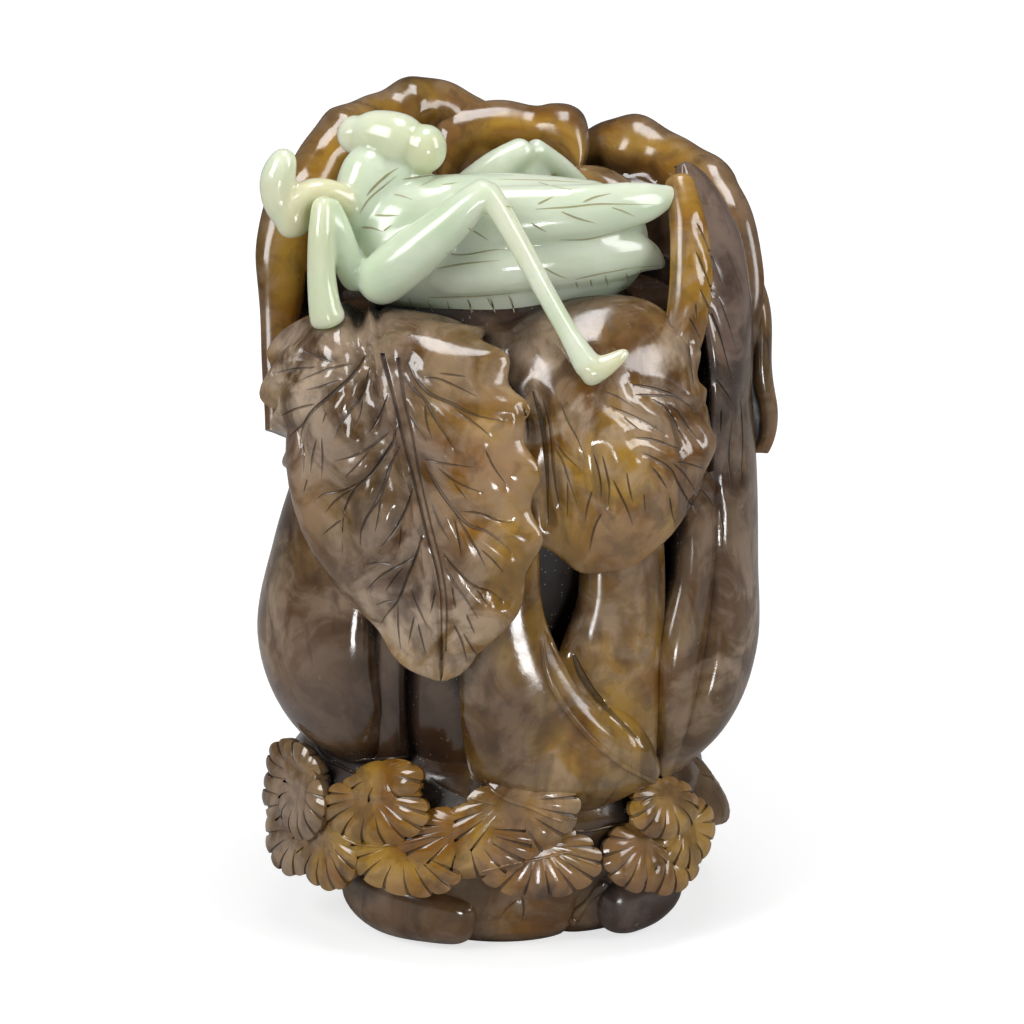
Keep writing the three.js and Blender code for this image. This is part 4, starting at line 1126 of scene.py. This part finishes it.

# The hollow mark: the share of directions blocked near each point, which the materials paint as shade and
# dust.
tree = surfaceTree(mesh)
hollowSizes = {"rays": 44, "reach": 16.0, "start": 0.06, "least": 0.2}
# thin: how near the back face lies along the inward normal, painted later as a glow where light would shine
# through.
thinSizes = {"start": 0.05, "reach": 14, "full": 7}
k = np.arange(hollowSizes["rays"])
height = 1 - 2 * (k + 0.5) / hollowSizes["rays"]
turn = k * math.pi * (3 - math.sqrt(5))
rays = np.stack([np.sqrt(1 - height**2) * np.cos(turn), np.sqrt(1 - height**2) * np.sin(turn), height], -1)
facing = normals @ rays.T
hollow = np.zeros(len(points))
thin = np.zeros(len(points))
rayVectors = [Vector(r) for r in rays]
for i, (p, n) in enumerate(zip(points, normals)):
    start = Vector((p + n * hollowSizes["start"]) * mm)
    total = blocked = 0.0
    for j in np.nonzero(facing[i] > hollowSizes["least"])[0]:
        weight = facing[i, j]
        total += weight
        distance = tree.ray_cast(start, rayVectors[j], hollowSizes["reach"] * mm)[3]
        if distance is not None:
            blocked += weight * (1 - 0.5 * distance / (hollowSizes["reach"] * mm))
    hollow[i] = blocked / max(total, 1e-6)
    inside = tree.ray_cast(Vector((p - n * thinSizes["start"]) * mm), Vector(-n), thinSizes["reach"] * mm)[3]
    thin[i] = 0.0 if inside is None else max(0.0, 1 - inside / (thinSizes["full"] * mm))
# Less painted shade in the hollows of honey stone, which lets light through.
hollow = smoothed(hollow, edges, 2) * (1 - 0.45 * np.clip(tint[:, 0], 0, 1))  # honey stone stays clear
thin = smoothed(thin, edges, 6)
print("hollows measured: mean", round(float(hollow.mean()), 3))

slots = readRows(mesh.polygons, "material_index", 1, np.int32)[:, 0]
cut = (slots == 2).astype(np.float32)
corners = np.array([p.vertices[0] for p in mesh.polygons])
slots = np.where(slots == 2, onMantis[corners].astype(np.int32), slots)
mesh.polygons.foreach_set("material_index", slots.astype(np.int32))
mesh.materials.pop(index=2)
bpy.data.materials.remove(cutFaces)
for name, values in (("hollow", hollow), ("thin", thin)):
    mesh.attributes.new(name, "FLOAT", "POINT").data.foreach_set("value", values.astype(np.float32))
mesh.attributes.new("cut", "FLOAT", "FACE").data.foreach_set("value", cut)
colour = np.concatenate([np.clip(tint, 0, 1), np.ones((len(tint), 1))], 1).astype(np.float32)
mesh.attributes.new("tint", "FLOAT_COLOR", "POINT").data.foreach_set("color", colour.ravel())
print("stone marked")

# Materials
def remapped(tree, value, low, high, newLow=0.0, newHigh=1.0):
    return addNode(tree, "ShaderNodeMapRange", {
        "Value": value, "From Min": low, "From Max": high, "To Min": newLow, "To Max": newHigh,
    }, interpolation_type="SMOOTHSTEP").outputs["Result"]


def attribute(tree, name):
    return addNode(tree, "ShaderNodeAttribute", attribute_name=name)


def coordinates(tree):
    return addNode(tree, "ShaderNodeTexCoord").outputs["Object"]


def noise(tree, vector, scale, detail, **more):
    values = {"Vector": vector, "Scale": scale, "Detail": detail, **more}
    return addNode(tree, "ShaderNodeTexNoise", values).outputs["Fac"]


def placeGroup(tree, group, values):
    return addNode(tree, "ShaderNodeGroup", values, node_tree=group)


# A cloud of the stone: a soft mask of warped noise.
cloudTree, cloudIn, cloudOut = groupTree("stoneCloud", [
    ("Scale", "Float", 30.0), ("Offset", "Vector", (0, 0, 0)), ("Stretch", "Vector", (1, 1, 1)),
    ("Low", "Float", 0.4), ("High", "Float", 0.6), ("Warp", "Float", 1.0),
], [("Mask", "Float")])
mapped = addNode(cloudTree, "ShaderNodeMapping", {
    "Vector": coordinates(cloudTree), "Location": cloudIn.outputs["Offset"],
    "Scale": cloudIn.outputs["Stretch"],
}).outputs["Vector"]
warped = noise(
    cloudTree, mapped, cloudIn.outputs["Scale"], 6.0, Roughness=0.55, Distortion=cloudIn.outputs["Warp"],
)
warped = remapped(cloudTree, warped, cloudIn.outputs["Low"], cloudIn.outputs["High"])
setInputs(cloudTree, cloudOut, {"Mask": warped})
# Dust and painted shade in the hollows and cuts, with pale specks: the hollow and cut marks darken the colour
# where shade would fall.
dustAndShadeTree, dustAndShadeIn, dustAndShadeOut = groupTree("dustAndShadeInHollows", [
    ("Color", "Color", (0.5, 0.5, 0.5, 1)), ("Deep Color", "Color", (0.02, 0.01, 0.006, 1)),
    ("Cut Color", "Color", (0.05, 0.03, 0.015, 1)), ("Speck Color", "Color", (0.6, 0.55, 0.45, 1)),
    ("Low", "Float", 0.35), ("High", "Float", 0.75), ("Specks", "Float", 1.0), ("Cut Share", "Float", 0.8),
], [("Color", "Color"), ("Rough", "Float")])
hollowValue = attribute(dustAndShadeTree, "hollow").outputs["Fac"]
cutValue = attribute(dustAndShadeTree, "cut").outputs["Fac"]
coords = coordinates(dustAndShadeTree)
uneven = remapped(dustAndShadeTree, noise(dustAndShadeTree, coords, 160.0, 4.0), 0.3, 0.7, -0.12, 0.12)
deep = sums(dustAndShadeTree, "ADD", hollowValue, uneven)
deep = remapped(dustAndShadeTree, deep, dustAndShadeIn.outputs["Low"], dustAndShadeIn.outputs["High"])
specks = addNode(dustAndShadeTree, "ShaderNodeTexVoronoi", {"Vector": coords, "Scale": 1500.0}, feature="F1")
speckShape = remapped(dustAndShadeTree, specks.outputs["Distance"], 0.16, 0.3, 1.0, 0.0)
speckPick = addNode(dustAndShadeTree, "ShaderNodeSeparateColor", {"Color": specks.outputs["Color"]})
speckPick = remapped(dustAndShadeTree, speckPick.outputs[0], 0.78, 0.84)
specks = sums(dustAndShadeTree, "MULTIPLY", sums(dustAndShadeTree, "MULTIPLY", speckShape, speckPick), deep)
specks = sums(dustAndShadeTree, "MULTIPLY", specks, dustAndShadeIn.outputs["Specks"])
dustedAndShaded = mixed(dustAndShadeTree, deep, dustAndShadeIn.outputs["Color"], dustAndShadeIn.outputs["Deep Color"])
cutShare = sums(dustAndShadeTree, "MULTIPLY", cutValue, dustAndShadeIn.outputs["Cut Share"])
dustedAndShaded = mixed(dustAndShadeTree, cutShare, dustedAndShaded, dustAndShadeIn.outputs["Cut Color"])
dustedAndShaded = mixed(dustAndShadeTree, specks, dustedAndShaded, dustAndShadeIn.outputs["Speck Color"])
rough = sums(dustAndShadeTree, "MAXIMUM", sums(dustAndShadeTree, "MULTIPLY", deep, 0.7), cutShare)
setInputs(dustAndShadeTree, dustAndShadeOut, {"Color": dustedAndShaded, "Rough": rough})

# The fine waviness that polishing leaves.
polishTree, polishIn, polishOut = groupTree("polishMarks", [
    ("Scale", "Float", 300.0), ("Fine Scale", "Float", 2500.0), ("Fine Share", "Float", 0.15),
], [("Height", "Float")])
coords = coordinates(polishTree)
coarse = noise(polishTree, coords, polishIn.outputs["Scale"], 3.0)
fineMarks = noise(polishTree, coords, polishIn.outputs["Fine Scale"], 2.0)
fineMarks = sums(polishTree, "MULTIPLY", fineMarks, polishIn.outputs["Fine Share"])
setInputs(polishTree, polishOut, {"Height": sums(polishTree, "ADD", coarse, fineMarks)})


def cloud(tree, scale, offset, low, high, warp=1.0, stretch=(1, 1, 1)):
    return placeGroup(tree, cloudTree, {
        "Scale": scale, "Offset": offset, "Low": low, "High": high, "Warp": warp, "Stretch": stretch,
    }).outputs["Mask"]


def finishStone(material, colour, dustAndShadeColours, settings):
    tree = material.node_tree
    # The colour gets dust and painted shade in the hollows and cuts.
    dustAndShade = placeGroup(tree, dustAndShadeTree, {"Color": colour, **dustAndShadeColours})
    gloss = cloud(tree, 90.0, (3, 1, 2), 0.35, 0.65)
    gloss = remapped(tree, gloss, 0, 1, settings["smooth"], settings["dull"])
    rough = sums(tree, "MULTIPLY", dustAndShade.outputs["Rough"], settings["dustAndShade"])
    marks = placeGroup(tree, polishTree, {"Scale": settings["marks"], "Fine Share": settings["fineShare"]})
    bump = addNode(tree, "ShaderNodeBump", {
        "Height": marks.outputs["Height"], "Strength": settings["bump"], "Distance": 0.0004,
    })
    setInputs(tree, tree.nodes["Principled BSDF"], {
        "Base Color": dustAndShade.outputs["Color"], "Roughness": sums(tree, "ADD", gloss, rough, True),
        "Normal": bump.outputs["Normal"], "IOR": 1.61, "Subsurface Weight": settings["glow"],
        "Subsurface Radius": settings["glowColour"], "Subsurface Scale": settings["glowDepth"],
    })


# edge is the amber of the painted glow where the stone is thin.
russetColours = {
    "dark": (0.036, 0.018, 0.01, 1), "violet": (0.175, 0.122, 0.098, 1), "amber": (0.2, 0.082, 0.007, 1),
    "honey": (0.37, 0.205, 0.026, 1), "pale": (0.46, 0.35, 0.25, 1), "edge": (0.34, 0.185, 0.03, 1),
}
tree = cloudedJade.node_tree
tints = addNode(tree, "ShaderNodeSeparateColor", {"Color": attribute(tree, "tint").outputs["Color"]})
thinValue = attribute(tree, "thin").outputs["Fac"]
violetShare = sums(tree, "MULTIPLY", tints.outputs[1], cloud(tree, 38.0, (0, 0, 0), 0.4, 0.58, 1.4))
base = mixed(tree, violetShare, russetColours["dark"], russetColours["violet"])
warmth = cloud(tree, 42.0, (5, 2, 7), 0.38, 0.66, 1.2)
warm = mixed(tree, warmth, russetColours["amber"], russetColours["honey"])
honeyShare = sums(tree, "MULTIPLY", tints.outputs[0], cloud(tree, 24.0, (2, 8, 1), 0.25, 0.55, 0.6), True)
base = mixed(tree, honeyShare, base, warm)
paleShare = sums(tree, "MULTIPLY", tints.outputs[2], cloud(tree, 80.0, (9, 4, 3), 0.4, 0.6, 1.2), True)
base = mixed(tree, paleShare, base, russetColours["pale"])
# Painted glow: thin stone is mixed towards amber, as if light shone through the edges.
throughGlowShare = sums(tree, "MULTIPLY", remapped(tree, thinValue, 0.35, 0.9), 0.55)
base = mixed(tree, throughGlowShare, base, russetColours["edge"])
streaks = cloud(tree, 60.0, (1, 6, 4), 0.56, 0.72, 2.5, (1, 1, 0.3))
base = mixed(tree, sums(tree, "MULTIPLY", streaks, 0.5), base, russetColours["dark"])
mottles = cloud(tree, 190.0, (7, 3, 8), 0.48, 0.64, 0.5)
base = mixed(tree, sums(tree, "MULTIPLY", mottles, 0.32), base, russetColours["dark"])
flecks = cloud(tree, 420.0, (2, 9, 5), 0.66, 0.76, 0.2)
base = mixed(tree, sums(tree, "MULTIPLY", flecks, 0.25), base, russetColours["pale"])
# Near-black hollows and cuts on the russet stone: dust and painted shade.
finishStone(cloudedJade, base, {
    "Deep Color": (0.024, 0.015, 0.012, 1), "Cut Color": (0.045, 0.026, 0.014, 1),
    "Speck Color": (0.45, 0.4, 0.32, 1), "Low": 0.34, "High": 0.68, "Specks": 0.9, "Cut Share": 0.5,
}, {
    "smooth": 0.1, "dull": 0.2, "dustAndShade": 0.45, "marks": 260.0, "fineShare": 0.12, "bump": 0.12,
    "glow": 0.05, "glowColour": (1.0, 0.5, 0.2), "glowDepth": 0.003,
})

celadonColours = {
    "green": (0.54, 0.63, 0.47, 1), "milk": (0.65, 0.7, 0.57, 1), "straw": (0.64, 0.55, 0.3, 1),
}
tree = celadonJade.node_tree
tints = addNode(tree, "ShaderNodeSeparateColor", {"Color": attribute(tree, "tint").outputs["Color"]})
base = mixed(tree, cloud(tree, 38.0, (4, 4, 1), 0.35, 0.65), celadonColours["green"], celadonColours["milk"])
strawShare = sums(tree, "MULTIPLY", tints.outputs[0], cloud(tree, 60.0, (2, 3, 9), 0.3, 0.6), True)
base = mixed(tree, strawShare, base, celadonColours["straw"])
# Khaki hollows and cuts on the mantis: dust and painted shade.
finishStone(celadonJade, base, {
    "Deep Color": (0.46, 0.44, 0.27, 1), "Cut Color": (0.32, 0.29, 0.15, 1),
    "Speck Color": (0.1, 0.08, 0.05, 1), "Low": 0.7, "High": 1.1, "Specks": 0.6, "Cut Share": 0.75,
}, {
    "smooth": 0.1, "dull": 0.18, "dustAndShade": 0.4, "marks": 240.0, "fineShare": 0.1, "bump": 0.08,
    "glow": 0.85, "glowColour": (0.9, 1.0, 0.7), "glowDepth": 0.007,
})
print("materials made")

# Floor, lights and surroundings
floorReach = 6.0
floorMesh = bpy.data.meshes.new("floor")
floorCorners = [(x * floorReach, y * floorReach, 0) for x, y in ((-1, -1), (1, -1), (1, 1), (-1, 1))]
floorMesh.from_pydata(floorCorners, [], [(0, 1, 2, 3)])
floor = newObject("floor", floorMesh)
floor.location = (0, 0, -0.0001)
floorPaint = plainMaterial("floorPaint")
tree = floorPaint.node_tree
seen = addNode(tree, "ShaderNodeLightPath").outputs["Is Camera Ray"]
away = addNode(tree, "ShaderNodeVectorMath", {0: coordinates(tree)}, operation="LENGTH").outputs["Value"]
# Painted shade on the floor: its glow for the camera is weaker near the foot.
glow = remapped(tree, away, 0.08, 0.5, 0.7, 0.9)  # white far off, a little shade at the foot
setInputs(tree, tree.nodes["Principled BSDF"], {
    "Base Color": (0.4, 0.4, 0.4, 1), "Roughness": 0.8, "Emission Color": (1, 1, 1, 1),
    "Emission Strength": sums(tree, "MULTIPLY", seen, glow),
})
floorMesh.materials.append(floorPaint)

lights = {  # place, aim, size across and up, power
    "softboxLeft": ((-0.62, -0.5, 0.62), (0, 0, 0.09), (0.36, 0.6), 6.4),
    "softboxRight": ((0.75, -0.35, 0.5), (0, 0, 0.08), (0.3, 0.6), 4.2),
    "softboxTop": ((0.05, 0.0, 0.95), (0, 0, 0.1), (0.44, 0.3), 3.8),
    "lowFront": ((0.2, -0.85, 0.03), (0, 0, 0.11), (0.16, 0.14), 1.5),
}
for name, (place, aim, size, power) in lights.items():
    data = bpy.data.lights.new(name, "AREA")
    data.shape = "RECTANGLE"
    data.size, data.size_y = size
    data.energy = power
    lamp = newObject(name, data)
    lamp.location = place
    lamp.rotation_euler = (Vector(aim) - Vector(place)).to_track_quat("-Z", "Y").to_euler()
world = bpy.data.worlds.new("surroundings")
bpy.context.scene.world = world
world.use_nodes = True
setInputs(world.node_tree, world.node_tree.nodes["Background"], {"Color": (1, 1, 1, 1), "Strength": 0.12})
bpy.context.scene.view_settings.view_transform = "Standard"

# Hand-over to the frame
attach(carving, "root")
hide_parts("cabbage_and_mantis_carving")
